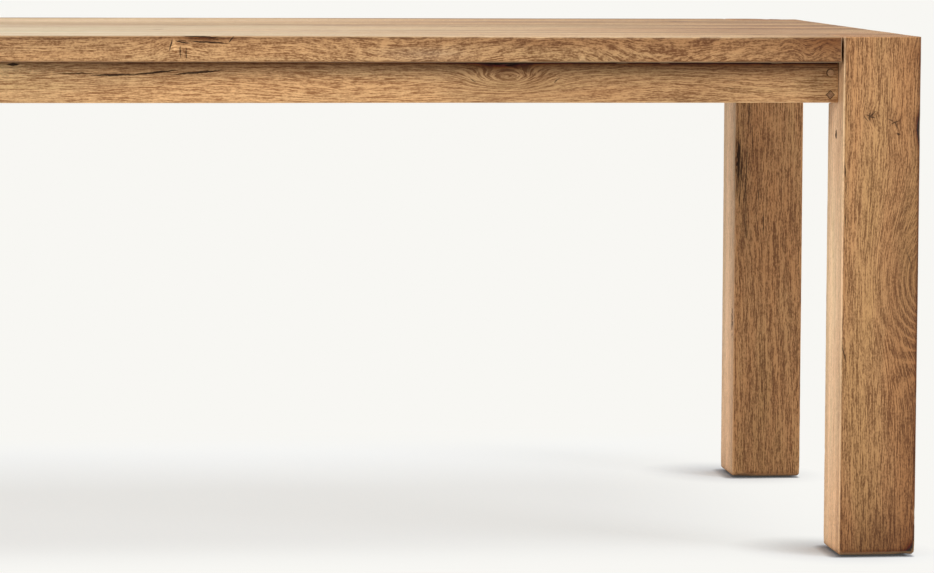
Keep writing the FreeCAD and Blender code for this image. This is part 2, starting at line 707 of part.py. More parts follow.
def make_button_screws():
    """One screw through each button into the plank above it."""
    wood = f"({BUTTON_HEIGHT} - head_height)"
    screws = []
    for frame in FRAMES:
        for i, station in enumerate(button_stations(frame)):
            screw = wood_screw(f"button_screw_{frame[1]}_{i}", wood)
            place(screw, frame, station, BUTTON_SCREW, f"{UNDER_TOP} - {wood}")
            screws.append(screw)
    group("top_button_screws", screws)


# ---------------------------------------------------------------- under the legs


def make_glides():
    """A round glide under each leg, held by one nail with a countersunk head."""
    glides, nails = [], []
    for frame in FRAMES:
        corner = frame[0]
        disc = cylinder(f"glide_disc_{corner}", "glide_diameter", "glide_thickness")
        shank = cylinder(f"nail_shank_{corner}", "nail_diameter", "glide_thickness + nail_in_leg")
        head = doc.addObject("Part::Cone", f"nail_head_{corner}")
        bind(head, Radius1="nail_head_diameter / 2", Radius2="nail_diameter / 2", Height="nail_head_height")
        for piece in (disc, shank, head):
            place(piece, frame, "leg_side / 2", "leg_side / 2", "0")
        nail = doc.addObject("Part::Fuse", f"nail_{corner}")
        nail.Base = shank
        nail.Tool = head
        glides.append(cut(disc, nail))
        nails.append(nail)
    group("floor_glides", glides)
    group("glide_nails", nails)


# ---------------------------------------------------------------- checking and writing


def check():
    """Stop if any object failed, any cut took nothing away, or any piece is not a sound solid."""
    for thing in doc.Objects:
        if {"Invalid", "Error"} & set(thing.State):
            raise RuntimeError(f"{thing.Label} failed: {thing.State}")
    for feature, before in cuts:
        if feature.Shape.Volume >= before.Shape.Volume:
            raise RuntimeError(f"{feature.Label} cuts nothing")
    for piece in nodes:
        if piece.Shape.isNull() or not piece.Shape.isValid() or not piece.Shape.Solids:
            raise RuntimeError(f"{piece.Label} is not a sound solid")


def write():
    """Write each piece to a file of its own, named after the piece."""
    os.makedirs("parts", exist_ok=True)
    for piece in nodes:
        piece.Shape.exportStep(f"parts/{piece.Label}.step")
        print(f"{piece.Label}: {len(piece.Shape.Solids)} solid(s), {piece.Shape.Volume / 1000:.1f} cm3")


make_sheet()
for corner_frame in FRAMES:
    make_leg(corner_frame)
    make_apron(corner_frame)
    make_tenons(corner_frame)
    make_pegs(corner_frame)
    make_block(corner_frame)
    make_buttons(corner_frame)
make_block_screws()
make_hanger_bolts()
for long_side in (FRAMES[0], FRAMES[2]):
    make_edge_plank(long_side)
for plank in range(INNER_PLANKS):
    make_inner_plank(plank)
for plank_seam in range(INNER_PLANKS + 1):
    make_spline(plank_seam)
for rail in range(RAILS):
    make_rail(rail)
make_rail_screws()
make_button_screws()
make_glides()
doc.recompute()
check()
write()
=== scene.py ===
"""Parsons dining table in open-grained, worn oak.

Square legs rise through the corners of a thick planked top, over a low apron that is set back.
Boards that show are shaped here, with worn arrises, chips, hollows and figured grain. What holds
them together underneath keeps its solid shape and gets a finish of its own.
"""
import logging
import math
from dataclasses import dataclass
from enum import Enum
from typing import Any, Union

import bmesh
import bpy
import numpy as np
from mathutils import Matrix, Vector


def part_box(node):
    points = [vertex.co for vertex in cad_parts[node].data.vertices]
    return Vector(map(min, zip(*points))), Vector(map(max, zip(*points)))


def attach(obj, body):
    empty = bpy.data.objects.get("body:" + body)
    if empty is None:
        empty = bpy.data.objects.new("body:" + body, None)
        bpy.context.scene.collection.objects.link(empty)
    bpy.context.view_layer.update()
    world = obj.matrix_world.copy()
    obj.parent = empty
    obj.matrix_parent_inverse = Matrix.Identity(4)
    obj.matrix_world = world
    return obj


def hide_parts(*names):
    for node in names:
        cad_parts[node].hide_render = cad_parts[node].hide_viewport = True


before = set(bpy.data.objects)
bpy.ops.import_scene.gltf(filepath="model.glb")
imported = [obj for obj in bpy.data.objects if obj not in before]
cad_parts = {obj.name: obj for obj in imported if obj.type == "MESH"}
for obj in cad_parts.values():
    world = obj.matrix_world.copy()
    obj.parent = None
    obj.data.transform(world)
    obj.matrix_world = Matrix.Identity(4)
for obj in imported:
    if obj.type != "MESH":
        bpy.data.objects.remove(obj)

log = logging.getLogger("parsons_table")

MM = 0.001
FAR = 1e5  # millimetres: a mark's reach on an axis where it never ends
SHARP = math.radians(40)
BACKDROP = (248, 247, 243)

Colour = tuple[float, float, float]
Triple = tuple[float, float, float]
Rows = tuple[tuple[float, ...], ...]
Grown = tuple[tuple["Mark", ...], tuple["Slit", ...]]
Value = Union["Sock", float, tuple]


def linear(red: float, green: float, blue: float) -> Colour:
    """Turn a colour of 0 to 255 a channel into a scene-linear one.

    Args:
        red: Red channel.
        green: Green channel.
        blue: Blue channel.

    Returns:
        The three linear channels.
    """
    return tuple(((c / 255 + 0.055) / 1.055) ** 2.4 for c in (red, green, blue))


def toned(colour: Colour, level: float) -> Colour:
    """A lighter or darker colour."""
    return tuple(c * level for c in colour)


class Run(Enum):
    """Which way the fibres of a board run."""

    ALONG = 0
    ACROSS = 1
    UP = 2

    def spread(self, fibre: float, side: float) -> Triple:
        """Scale for a pattern that is drawn out along the fibres.

        Args:
            fibre: Scale along the fibres.
            side: Scale in both directions across them.

        Returns:
            The scale on x, y and z.
        """
        return tuple(fibre if axis == self.value else side for axis in range(3))

    def sides(self) -> tuple[int, int]:
        """The two axes across the fibres."""
        return tuple(axis for axis in range(3) if axis != self.value)


class Blemish(Enum):
    """What a mark does to a board."""

    SWIRL = "swirl"
    # STAIN_AND_PAINTED_LIGHT darkens or lightens a place: real stains and dirt, and also painted shade and
    # painted highlights.
    STAIN_AND_PAINTED_LIGHT = "stain_and_painted_light"
    PALE = "pale"
    CHECKS = "checks"
    CURL = "curl"
    SCRUBBED = "scrubbed"
    FIGURE = "figure"
    HOLLOW = "hollow"


@dataclass(frozen=True)
class Mark:
    """One soft-edged place on a board where the wood differs, and for some marks where shade and highlights
    are painted on; lengths in millimetres.
    """

    kind: Blemish
    at: Triple
    reach: Triple
    strength: float

    def mask(self, points: np.ndarray) -> np.ndarray:
        """How strongly the mark acts on each point.

        Args:
            points: Points in metres, one a row.

        Returns:
            Values from 0 to 1.
        """
        apart = (points / MM - np.array(self.at)) / np.array(self.reach)
        return np.exp(-(apart**2).sum(1))


@dataclass(frozen=True)
class Slit:
    """A drying check: a thin dark lens in a face; millimetres, and its turn about y in degrees."""

    at: Triple
    half: Triple
    turn: float = 0.0
    dark: float = 1.0


def marks_from(table: dict[Blemish, Rows]) -> tuple[Mark, ...]:
    """Read marks from a table.

    Args:
        table: Rows by kind: the place, the reach on x, y and z, and the strength.

    Returns:
        The marks.
    """
    return tuple(Mark(kind, row[:3], row[3:6], row[6]) for kind, rows in table.items() for row in rows)


def slits_from(rows: Rows) -> tuple[Slit, ...]:
    """Read drying checks from a table.

    Args:
        rows: The place, half the size on x, y and z, the turn, and the darkness where it isn't full.

    Returns:
        The checks.
    """
    return tuple(Slit(row[:3], row[3:6], *row[6:]) for row in rows)


class SmoothNoise:
    """Smooth, repeatable noise that shapes worn wood."""

    def __init__(self, seed: int) -> None:
        """Shuffle the lattice.

        Args:
            seed: Number that picks the pattern.
        """
        draw = np.random.default_rng(seed)
        self.order = draw.permutation(256)
        self.level = draw.uniform(-1.0, 1.0, 256)

    def __call__(self, points: np.ndarray, scale: Triple) -> np.ndarray:
        """Read the noise.

        Args:
            points: Points in metres, one a row.
            scale: Lattice cells in a metre on each axis.

        Returns:
            Values from -1 to 1.
        """
        grid = points * np.array(scale) + 1000.0
        cell = np.floor(grid).astype(int)
        part = grid - cell
        part = part * part * (3 - 2 * part)
        total = np.zeros(len(points))
        for corner in np.ndindex(2, 2, 2):
            x, y, z = (cell + np.array(corner)).T & 255
            share = np.prod(np.where(np.array(corner), part, 1 - part), axis=1)
            total += share * self.level[self.order[(self.order[(self.order[x] + y) & 255] + z) & 255]]
        return total


class Sock:
    """A shader socket whose operators add Math nodes."""

    def __init__(self, graph: "Graph", socket: bpy.types.NodeSocket) -> None:
        """Wrap a socket.

        Args:
            graph: The material's graph.
            socket: The output socket.
        """
        self.graph = graph
        self.socket = socket

    def maths(self, operation: str, *values: Value, clamp: bool = False) -> "Sock":
        """Add a Math node.

        Args:
            operation: Blender's name of the operation.
            *values: Its operands.
            clamp: Whether the result stays from 0 to 1.

        Returns:
            The result.
        """
        settings = {"operation": operation, "use_clamp": clamp}
        return self.graph.add("ShaderNodeMath", settings, dict(enumerate(values)))

    def __add__(self, other: Value) -> "Sock":
        """Sum."""
        return self.maths("ADD", self, other)

    __radd__ = __add__

    def __sub__(self, other: Value) -> "Sock":
        """Difference."""
        return self.maths("SUBTRACT", self, other)

    def __rsub__(self, other: Value) -> "Sock":
        """Difference, reflected."""
        return self.maths("SUBTRACT", other, self)

    def __mul__(self, other: Value) -> "Sock":
        """Product."""
        return self.maths("MULTIPLY", self, other)

    __rmul__ = __mul__

    def __truediv__(self, other: Value) -> "Sock":
        """Quotient."""
        return self.maths("DIVIDE", self, other)

    def __pow__(self, other: Value) -> "Sock":
        """Power."""
        return self.maths("POWER", self, other)

    def absolute(self) -> "Sock":
        """Size without sign."""
        return self.maths("ABSOLUTE", self)

    def part(self) -> "Sock":
        """Fractional part."""
        return self.maths("FRACT", self)

    def sign(self) -> "Sock":
        """-1 or 1."""
        return self.maths("SIGN", self)

    def top(self, other: Value) -> "Sock":
        """The larger of two."""
        return self.maths("MAXIMUM", self, other)

    def least(self, other: Value) -> "Sock":
        """The smaller of two."""
        return self.maths("MINIMUM", self, other)

    def kept(self) -> "Sock":
        """Held from 0 to 1."""
        return self.maths("ADD", self, 0.0, clamp=True)

    def step(self, start: float, end: float, low: float = 0.0, high: float = 1.0) -> "Sock":
        """Ease from one level to another.

        Args:
            start: Where the change starts.
            end: Where it ends.
            low: Level before the change.
            high: Level after it.

        Returns:
            The eased value.
        """
        sockets = {"Value": self, "From Min": start, "From Max": end, "To Min": low, "To Max": high}
        return self.graph.add("ShaderNodeMapRange", {"interpolation_type": "SMOOTHSTEP"}, sockets)


class Graph:
    """The node graph of one material or of the world."""

    def __init__(self, tree: bpy.types.NodeTree) -> None:
        """Clear a node tree.

        Args:
            tree: The tree to build in.
        """
        self.tree = tree
        tree.nodes.clear()

    def add(self, kind: str, settings: dict[str, Any], sockets: dict, output: Union[int, str] = 0) -> Sock:
        """Add a node.

        Args:
            kind: The node's type.
            settings: Its settings, set before its sockets.
            sockets: Values or links by socket name or number.
            output: The output to return.

        Returns:
            That output.
        """
        node = self.tree.nodes.new(kind)
        for name, value in settings.items():
            setattr(node, name, value)
        for name, value in sockets.items():
            if isinstance(value, Sock):
                self.tree.links.new(value.socket, node.inputs[name])
            else:
                target = node.inputs[name]
                wide = getattr(target, "type", "") == "RGBA" and isinstance(value, tuple)
                target.default_value = (*value[:3], 1.0) if wide else value
        return Sock(self, node.outputs[output]) if node.outputs else None

    def place(self) -> Sock:
        """Object coordinates."""
        return self.add("ShaderNodeTexCoord", {}, {}, "Object")

    def painted(self, name: str) -> Sock:
        """A value that the mesh carries."""
        return self.add("ShaderNodeAttribute", {"attribute_name": name}, {}, "Fac")

    def shifted(self, vector: Sock, scale: Triple, start: Triple = (0, 0, 0)) -> Sock:
        """Scale and move a pattern's coordinates.

        Args:
            vector: The coordinates.
            scale: Scale on each axis.
            start: What is added afterwards.

        Returns:
            The new coordinates.
        """
        return self.add("ShaderNodeMapping", {}, {"Vector": vector, "Location": start, "Scale": scale})

    def noise(self, vector: Sock, scale: Triple, seed: float, detail: float = 2.0,
              rough: float = 0.5) -> Sock:
        """Noise with a scale of its own on each axis.

        Args:
            vector: The coordinates.
            scale: Cells in a metre on each axis.
            seed: Moves the pattern.
            detail: Octaves.
            rough: Weight of the finer octaves.

        Returns:
            A value near 0.5.
        """
        start = (seed * 3.17 + 11.3, seed * 1.71 + 5.9, seed * 2.33 + 7.7)
        sockets = {"Vector": self.shifted(vector, scale, start), "Scale": 1.0, "Detail": detail,
                   "Roughness": rough}
        return self.add("ShaderNodeTexNoise", {}, sockets)

    def mix(self, share: Value, first: Value, second: Value, how: str = "MIX") -> Sock:
        """Blend two colours.

        Args:
            share: How much of the second.
            first: Colour or link.
            second: Colour or link.
            how: Blender's name of the blend.

        Returns:
            The colour.
        """
        settings = {"data_type": "RGBA", "blend_type": how}
        return self.add("ShaderNodeMix", settings, {0: share, 6: first, 7: second}, 2)

    def split(self, vector: Sock) -> tuple[Sock, Sock, Sock]:
        """Take a vector apart."""
        node = self.add("ShaderNodeSeparateXYZ", {}, {"Vector": vector}).socket.node
        return tuple(Sock(self, node.outputs[i]) for i in range(3))

    def shaken(self, vector: Sock, scale: float, reach: float) -> Sock:
        """Shake coordinates a little, so that what is drawn with them gets a ragged edge.

        Args:
            vector: The coordinates.
            scale: Cells in a metre.
            reach: How far they move, in metres.

        Returns:
            The new coordinates.
        """
        noise = self.add("ShaderNodeTexNoise", {}, {"Vector": vector, "Scale": scale, "Detail": 2.0}, "Color")
        even = self.add("ShaderNodeVectorMath", {"operation": "SUBTRACT"}, {0: noise, 1: (0.5, 0.5, 0.5)})
        small = self.add("ShaderNodeVectorMath", {"operation": "SCALE"}, {0: even, "Scale": reach})
        return self.add("ShaderNodeVectorMath", {"operation": "ADD"}, {0: vector, 1: small})

    def blend(self, share: Value, first: Sock, second: Sock) -> Sock:
        """Blend two shaders."""
        return self.add("ShaderNodeMixShader", {}, {0: share, 1: first, 2: second})

    def bump(self, height: Sock, depth: float, strength: float = 1.0) -> Sock:
        """Relief from a height of 0 to 1.

        Args:
            height: The height.
            depth: Its depth in metres.
            strength: How much of it shows.

        Returns:
            The normal.
        """
        return self.add("ShaderNodeBump", {}, {"Strength": strength, "Distance": depth, "Height": height})

    def surface(self, sockets: dict) -> None:
        """Finish with one Principled surface.

        Args:
            sockets: Values or links by socket name.
        """
        shader = self.add("ShaderNodeBsdfPrincipled", {}, sockets)
        self.add("ShaderNodeOutputMaterial", {}, {"Surface": shader})


def new_material(name: str) -> tuple[bpy.types.Material, Graph]:
    """Start a material.

    Args:
        name: Its name.

    Returns:
        The material and its cleared graph.
    """
    material = bpy.data.materials.new(name)
    material.use_nodes = True
    return material, Graph(material.node_tree)


@dataclass(frozen=True)
class Oak:
    """Matt, oiled, open-grained oak, cut from its own place in the log.

    The fields from pores to lines say how strongly each layer of the grain shows. Pegs are how far
    they stand from the board's middle, and the heights of the round and the square one, in metres.
    """

    name: str
    late: Colour
    early: Colour
    run: Run
    seed: float
    pith: tuple[float, float] = (0.02, -0.12)
    ring: float = 0.0042
    wander: float = 0.010
    wobble: float = 0.0012
    tilt: float = 0.0
    pores: float = 0.06
    bands: float = 0.10
    broad: float = 0.30
    streaks: float = 1.0
    grit: float = 1.0
    specks: float = 1.0
    lines: float = 1.0
    tints: float = 18.0
    dulled: float = 0.70
    # Pale marks blend towards this colour: sapwood on the top, and painted light where an arris or a leg's
    # inner side is drawn lit.
    pale_wood_and_painted_light: Colour = linear(182, 172, 150)
    slits: tuple[Slit, ...] = ()
    pegs: tuple[float, float, float] = ()
    round_peg: float = 0.0050
    square_peg: float = 0.0057

    def flow(self, graph: Graph, vector: Sock, figure: Sock) -> tuple[Sock, Sock]:
        """Distance from the pith, bent by curl, figure and knots, and coordinates that follow it.

        Args:
            graph: The material's graph.
            vector: Coordinates from the board's middle.
            figure: How far the rings are pushed, in metres.

        Returns:
            The distance in metres, and coordinates that bend with the fibres.
        """
        parts = graph.split(vector)
        u = parts[self.run.value]
        v, w = (parts[axis] for axis in self.run.sides())
        slow = graph.noise(vector, self.run.spread(1.6, 7.0), self.seed, 1.0) - 0.5
        small = graph.noise(vector, self.run.spread(9.0, 38.0), self.seed + 1, 2.0) - 0.5
        push = small * (2 * self.wobble) + figure
        facing = graph.painted("facing")
        bent = {0: u, 1: v + push * (1.0 - facing), 2: w + push * facing}
        v = v - self.pith[0] + slow * (2 * self.wander)
        w = w - self.pith[1]
        away = (v * v + w * w) ** 0.5 + push + u * self.tilt
        return away, graph.add("ShaderNodeCombineXYZ", {}, bent)

    def crack(self, graph: Graph, vector: Sock, slit: Slit) -> Sock:
        """Mask of one drying check.

        Args:
            graph: The material's graph.
            vector: Slightly shaken object coordinates.
            slit: The check.

        Returns:
            1 inside it.
        """
        sockets = {"Vector": vector, "Location": tuple(c * MM for c in slit.at),
                   "Rotation": (0, math.radians(slit.turn), 0), "Scale": tuple(c * MM for c in slit.half)}
        along, deep, wide = graph.split(graph.add("ShaderNodeMapping", {"vector_type": "TEXTURE"}, sockets))
        inside = 1.0 - along * along - deep * deep - wide.absolute()
        return inside.step(0.0, 0.55) * slit.dark

    def ring_of_peg(self, parts: tuple[Sock, Sock, Sock]) -> Sock:
        """Dark outline round the pegs at both ends of an apron.

        Args:
            parts: Object coordinates.

        Returns:
            1 on the outline.
        """
        reach, high, low = self.pegs
        u = parts[self.run.value].absolute() - reach
        up, down = parts[2] - high, parts[2] - low
        off_round = ((u * u + up * up) ** 0.5 - self.round_peg).absolute()
        open_side = (up * 0.6 - u * 0.8).step(-0.0035, 0.0030, 0.25, 1.0)
        off_square = (u.absolute() + down.absolute() - self.square_peg).absolute() * 0.75
        round_line = off_round.step(0.0006, 0.0017, 1.0, 0.0) * open_side
        return round_line.top(off_square.step(0.0004, 0.0013, 0.9, 0.0))

    def checked(self, graph: Graph, place: Sock, flow: Sock) -> Sock:
        """Mask of scattered checks, of the listed ones and of the outlines of pegs.

        Args:
            graph: The material's graph.
            place: Object coordinates.
            flow: Coordinates that bend with the fibres.

        Returns:
            1 in a check.
        """
        scattered = graph.noise(flow, (14.0, 330.0, 330.0), self.seed + 7, 2.0, 0.5)
        check = (scattered + 0.28 * graph.painted("checks")).step(0.76, 0.82)
        if self.slits:
            shaken = graph.shaken(place, 120.0, 0.0035)
            for slit in self.slits:
                check = check.top(self.crack(graph, shaken, slit))
        if self.pegs:
            check = check.top(self.ring_of_peg(graph.split(place)))
        return check

    def tinted(self, graph: Graph, vector: Sock, colour: Sock, patch: Sock) -> Sock:
        """Let the colour drift, and lay the stains, the painted shade and highlights, and the scrubbed
        patches over it.

        Args:
            graph: The material's graph.
            vector: Coordinates from the board's middle.
            colour: The colour of the grain.
            patch: Broad noise along the fibres.

        Returns:
            The colour.
        """
        warm = graph.noise(vector, self.run.spread(2.5, self.tints), self.seed + 8, 3.0, 0.6)
        colour = graph.mix(warm.step(0.40, 0.66) * 0.55, colour, (0.98, 0.84, 0.74), "MULTIPLY")
        colour = graph.mix(warm.step(0.32, 0.52, 1.0, 0.0) * 0.45, colour, (0.90, 0.95, 0.84), "MULTIPLY")
        # The stain values carry real stains and also painted shade and painted highlights.
        tone = graph.painted("stain_and_painted_light") + graph.painted("scrubbed") * (patch.step(0.38, 0.62) - 0.5) * 0.50
        shades = {i: (1.0 + tone * part).top(0.03) for i, part in enumerate((1.0, 1.16, 1.28))}
        return graph.mix(1.0, colour, graph.add("ShaderNodeCombineColor", {}, shades), "MULTIPLY")

    def dress(self, centre: Vector) -> bpy.types.Material:
        """Build the finish.

        Args:
            centre: The board's middle.

        Returns:
            The material.
        """
        material, g = new_material(self.name)
        run = self.run
        place = g.place()
        vector = g.shifted(place, (1, 1, 1), tuple(-c for c in centre))
        ripple = g.noise(vector, run.spread(62.0, 34.0), self.seed + 6, 2.0, 0.6) - 0.5
        ripple = ripple * g.painted("curl")
        away, flow = self.flow(g, vector, g.painted("swirl") + ripple * 0.012)

        band = (away / self.ring).part()
        early = band.step(0.0, 0.16) * band.step(0.28, 0.80, 1.0, 0.0)
        bright = band.step(0.70, 0.82) * band.step(0.88, 1.0, 1.0, 0.0)
        width = g.noise(flow, (1.4, 50.0, 50.0), self.seed + 2, 3.0, 0.6)
        streak = g.noise(flow, (11.0, 520.0, 520.0), self.seed + 3, 2.0, 0.72)
        fibre = g.noise(flow, (60.0, 780.0, 780.0), self.seed + 9, 2.0, 0.80).step(0.25, 0.75)
        speck = g.noise(vector, run.spread(280.0, 420.0), self.seed + 11, 1.0, 0.6) - 0.5
        patch = g.noise(vector, run.spread(1.2, 18.0), self.seed + 10, 2.0, 0.60)
        fleck = g.noise(flow, (90.0, 620.0, 620.0), self.seed + 4, 1.0, 0.5)
        pore = fleck.step(0.56, 0.66) * (0.30 + 0.70 * early)
        mottle = g.noise(vector, run.spread(16.0, 34.0), self.seed + 5, 3.0, 0.60) - 0.5
        check = self.checked(g, place, flow)

        rings = early * self.bands - bright * (patch.step(0.40, 0.60) + 0.25) * (0.16 * self.lines)
        dark = (rings * (g.painted("figure") + 1.0) + (fibre - 0.5) * (1.20 * self.grit)
                + speck * (1.5 * self.specks) + (streak - 0.5) * (2.45 * self.streaks)
                + (width - 0.5) * self.broad + pore * self.pores + ripple * 0.5 + mottle * 0.18
                + 0.42).kept()
        colour = g.mix(dark, self.late, self.early)
        # Pale marks: sapwood, and painted highlights and painted lit sides where the marks say so.
        pale = g.painted("pale").least(0.95).top(0.0) * (1.25 - 0.6 * dark)
        dull, clear = toned(self.pale_wood_and_painted_light, self.dulled), toned(self.pale_wood_and_painted_light, 1.16)
        colour = g.mix(pale, colour, g.mix(patch.step(0.38, 0.62), clear, dull))
        colour = self.tinted(g, vector, colour, patch)
        rubbed = tuple(min(1.0, c * 1.30 + 0.03) for c in self.late)
        colour = g.mix(g.painted("wear") * 0.35, colour, rubbed)
        colour = g.mix(check * 0.92, colour, (0.016, 0.006, 0.002))

        height = 1.0 - pore * 0.3 - early * 0.20 - check * 1.2 + (streak - 0.5) * 0.6 + mottle * 0.3
        rough = (0.58 + pore * 0.16 + (fibre - 0.5) * 0.08 + check * 0.3).kept()
        g.surface({"Base Color": colour, "Roughness": rough, "Normal": g.bump(height, 0.0006, 0.6),
                   "Specular IOR Level": 0.2})
        return material


@dataclass
class Board:
    """One sawn board with worn arrises, made in the place of its solid; lengths in metres.

    A groove is the side that it is on, its foot and its head. A flat corner is the way from the
    board's middle to the arris that is planed flat.
    """

    name: str
    node: str
    slot: str
    oak: Oak
    slice_length: float = 0.004
    pitch: float = 0.007
    steps: tuple[float, ...] = (0.0007, 0.0017, 0.0034, 0.0062)
    arris: float = 0.0015
    chips: float = 0.0045
    bow: float = 0.0004
    bow_reach: float = 0.004
    seed: int = 1
    marks: tuple[Mark, ...] = ()
    groove: tuple[float, float, float] = ()
    groove_depth: float = 0.008
    flat_corner: tuple[int, int] = ()
    flat_radius: float = 0.020
    flat_span: tuple[float, float] = (0.662, 0.7245)
    foot_wear: float = 0.0030
    foot_height: float = 0.012
    hollow_reach: float = 0.012

    def __post_init__(self) -> None:
        """Take the place of the solid."""
        self.low, self.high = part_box(self.node)

    def stations(self, low: float, high: float) -> list[float]:
        """Where a side is cut: close together near its two arrises.

        Args:
            low: Start of the side.
            high: End of it.

        Returns:
            Positions between the two.
        """
        near = [s for s in self.steps if s < (high - low) / 2 - 0.001]
        inner = (high - low) - 2 * near[-1]
        count = max(1, round(inner / self.pitch))
        even = [low + near[-1] + inner * i / count for i in range(1, count)]
        return [low + s for s in near] + even + [high - s for s in near]

    def blank(self) -> bmesh.types.BMesh:
        """Cut the box into slices along the fibres and lanes across them.

        Returns:
            The mesh.
        """
        run = self.oak.run
        size = self.high - self.low
        mesh = bmesh.new()
        bmesh.ops.create_cube(mesh, size=1.0)
        shape = Matrix.Translation((self.low + self.high) / 2) @ Matrix.Diagonal((*size, 1.0))
        bmesh.ops.transform(mesh, matrix=shape, verts=mesh.verts)
        for axis in range(3):
            places = self.stations(self.low[axis], self.high[axis])
            if axis == run.value:
                places = [self.low[axis] + s for s in self.steps] + [self.high[axis] - s for s in self.steps]
            elif axis == 2 and self.groove:
                places += [self.groove[1], self.groove[2]]
            for place in places:
                point, normal = Vector(self.low), Vector((0, 0, 0))
                point[axis], normal[axis] = place, 1.0
                geometry = mesh.verts[:] + mesh.edges[:] + mesh.faces[:]
                bmesh.ops.bisect_plane(mesh, geom=geometry, dist=1e-6, plane_co=point, plane_no=normal)
        if self.groove:
            self.plough(mesh)
        long_edges = []
        for edge in mesh.edges:
            reach = edge.verts[1].co - edge.verts[0].co
            if abs(reach[run.value]) > 0.9 * reach.length and reach.length > 3 * self.steps[-1]:
                long_edges.append(edge)
        length = size[run.value] - 2 * self.steps[-1]
        cuts = max(1, round(length / self.slice_length)) - 1
        bmesh.ops.subdivide_edges(mesh, edges=long_edges, cuts=cuts, use_grid_fill=True)
        return mesh

    def plough(self, mesh: bmesh.types.BMesh) -> None:
        """Sink the button groove into the inner face.

        Args:
            mesh: The board, cut at the groove's two edges.
        """
        side, foot, head = self.groove
        axis = 1 if self.oak.run is Run.ALONG else 0
        face_at = self.low[axis] if side < 0 else self.high[axis]
        strip = []
        for face in mesh.faces:
            middle = face.calc_center_median()
            if abs(middle[axis] - face_at) < 1e-6 and foot < middle[2] < head:
                strip.append(face)
        made = bmesh.ops.extrude_face_region(mesh, geom=strip)
        moved = [item for item in made["geom"] if isinstance(item, bmesh.types.BMVert)]
        offset = Vector((0, 0, 0))
        offset[axis] = -side * self.groove_depth
        bmesh.ops.translate(mesh, verts=moved, vec=offset)
        bmesh.ops.delete(mesh, geom=[face for face in strip if face.is_valid], context="FACES")

    def radii(self, points: np.ndarray) -> np.ndarray:
        """How round the arrises are near each point: more at a foot and where wood has chipped off.

        Args:
            points: The points, one a row.

        Returns:
            A radius for each.
        """
        noise, other = SmoothNoise(self.seed), SmoothNoise(self.seed + 50)
        slow = noise(points, (5.0, 5.0, 5.0))
        ragged = noise(points, (48.0, 48.0, 48.0))
        nicks = other(points, (120.0, 120.0, 120.0))
        radius = self.arris * (1.0 + 0.45 * slow + 0.30 * ragged)
        deep = np.clip((ragged + 0.8 * slow + 0.35 * nicks - 0.55) / 0.6, 0, 1)
        radius = radius + self.chips * deep * deep
        if self.oak.run is Run.UP:
            above = (points[:, 2] - self.low[2]) / self.foot_height
            radius = radius + self.foot_wear * np.exp(-(above**2))
        return radius

    def flattened(self, points: np.ndarray) -> np.ndarray:
        """Which points belong to the arris that is planed flat behind the bolt.

        Args:
            points: The points, one a row.

        Returns:
            True for those.
        """
        if not self.flat_corner:
            return np.zeros(len(points), bool)
        out = (points - np.array((self.low + self.high) / 2))[:, :2] * np.array(self.flat_corner)
        foot, head = self.flat_span
        return (out > 0).all(1) & (points[:, 2] > foot) & (points[:, 2] < head)

    def worn(self, points: np.ndarray) -> tuple[np.ndarray, np.ndarray]:
        """Wear the arrises and corners, and let the faces move a little.

        Args:
            points: The points, one a row.

        Returns:
            The moved points, and how worn each place is from 0 to 1.
        """
        low, high = np.array(self.low), np.array(self.high)
        flat = self.flattened(points)
        radius = np.where(flat, self.flat_radius, self.radii(points))
        power = np.where(flat, 1.0, 1.6)
        near = np.minimum(points - low, high - points)
        short = np.clip(radius[:, None] - near, 0, None)
        short[:, 2] = np.where(flat, 0, short[:, 2])
        reach = (short ** power[:, None]).sum(1) ** (1 / power)
        edge = (short > 0).sum(1) > 1
        over = (reach > radius) & edge
        pull = np.where(over, radius / np.maximum(reach, 1e-9), 1.0)
        kept = np.where((short > 0) & over[:, None], radius[:, None] - short * pull[:, None], near)
        lower = points - low < high - points
        moved = np.where(lower, low + kept, high - kept)
        rubbed = np.clip((reach - 0.55 * radius) / (0.7 * radius), 0, 1) * edge

        swell = SmoothNoise(self.seed + 50)(points, self.oak.run.spread(3.0, 14.0)) * 0.5 + 0.5
        depth = self.bow * (0.25 + 0.75 * swell)
        moved += np.where(lower, 1.0, -1.0) * np.clip(1 - near / self.bow_reach, 0, 1) * depth[:, None]
        return moved, rubbed

    def hollowed(self, points: np.ndarray, moved: np.ndarray) -> np.ndarray:
        """Sink bark pockets and open knots into the nearest face.

        Args:
            points: Unworn points.
            moved: Worn points.

        Returns:
            The points after sinking.
        """
        low, high = np.array(self.low), np.array(self.high)
        grit = SmoothNoise(self.seed + 9)(points, (160.0, 160.0, 160.0))
        for mark in self.marks:
            if mark.kind is not Blemish.HOLLOW:
                continue
            at = np.array(mark.at) * MM
            gaps = np.concatenate([at - low, high - at])
            axis, way = int(np.argmin(gaps)) % 3, 1.0 if np.argmin(gaps) < 3 else -1.0
            depth = np.clip(mark.mask(points) * (1.0 + 0.5 * grit) - 0.25, 0, 1) * mark.strength * MM
            near = (points[:, axis] - low[axis]) if way > 0 else (high[axis] - points[:, axis])
            moved[:, axis] += way * depth * np.clip(1 - near / self.hollow_reach, 0, 1)
        return moved

    def painted(self, points: np.ndarray, rubbed: np.ndarray) -> dict[str, np.ndarray]:
        """What the finish reads at each point.

        Args:
            points: Unworn points.
            rubbed: How worn each of them is.

        Returns:
            The values by name.
        """
        levels = {kind: np.zeros(len(points)) for kind in Blemish}
        for mark in self.marks:
            levels[mark.kind] += mark.mask(points) * mark.strength
        levels[Blemish.SWIRL] *= MM
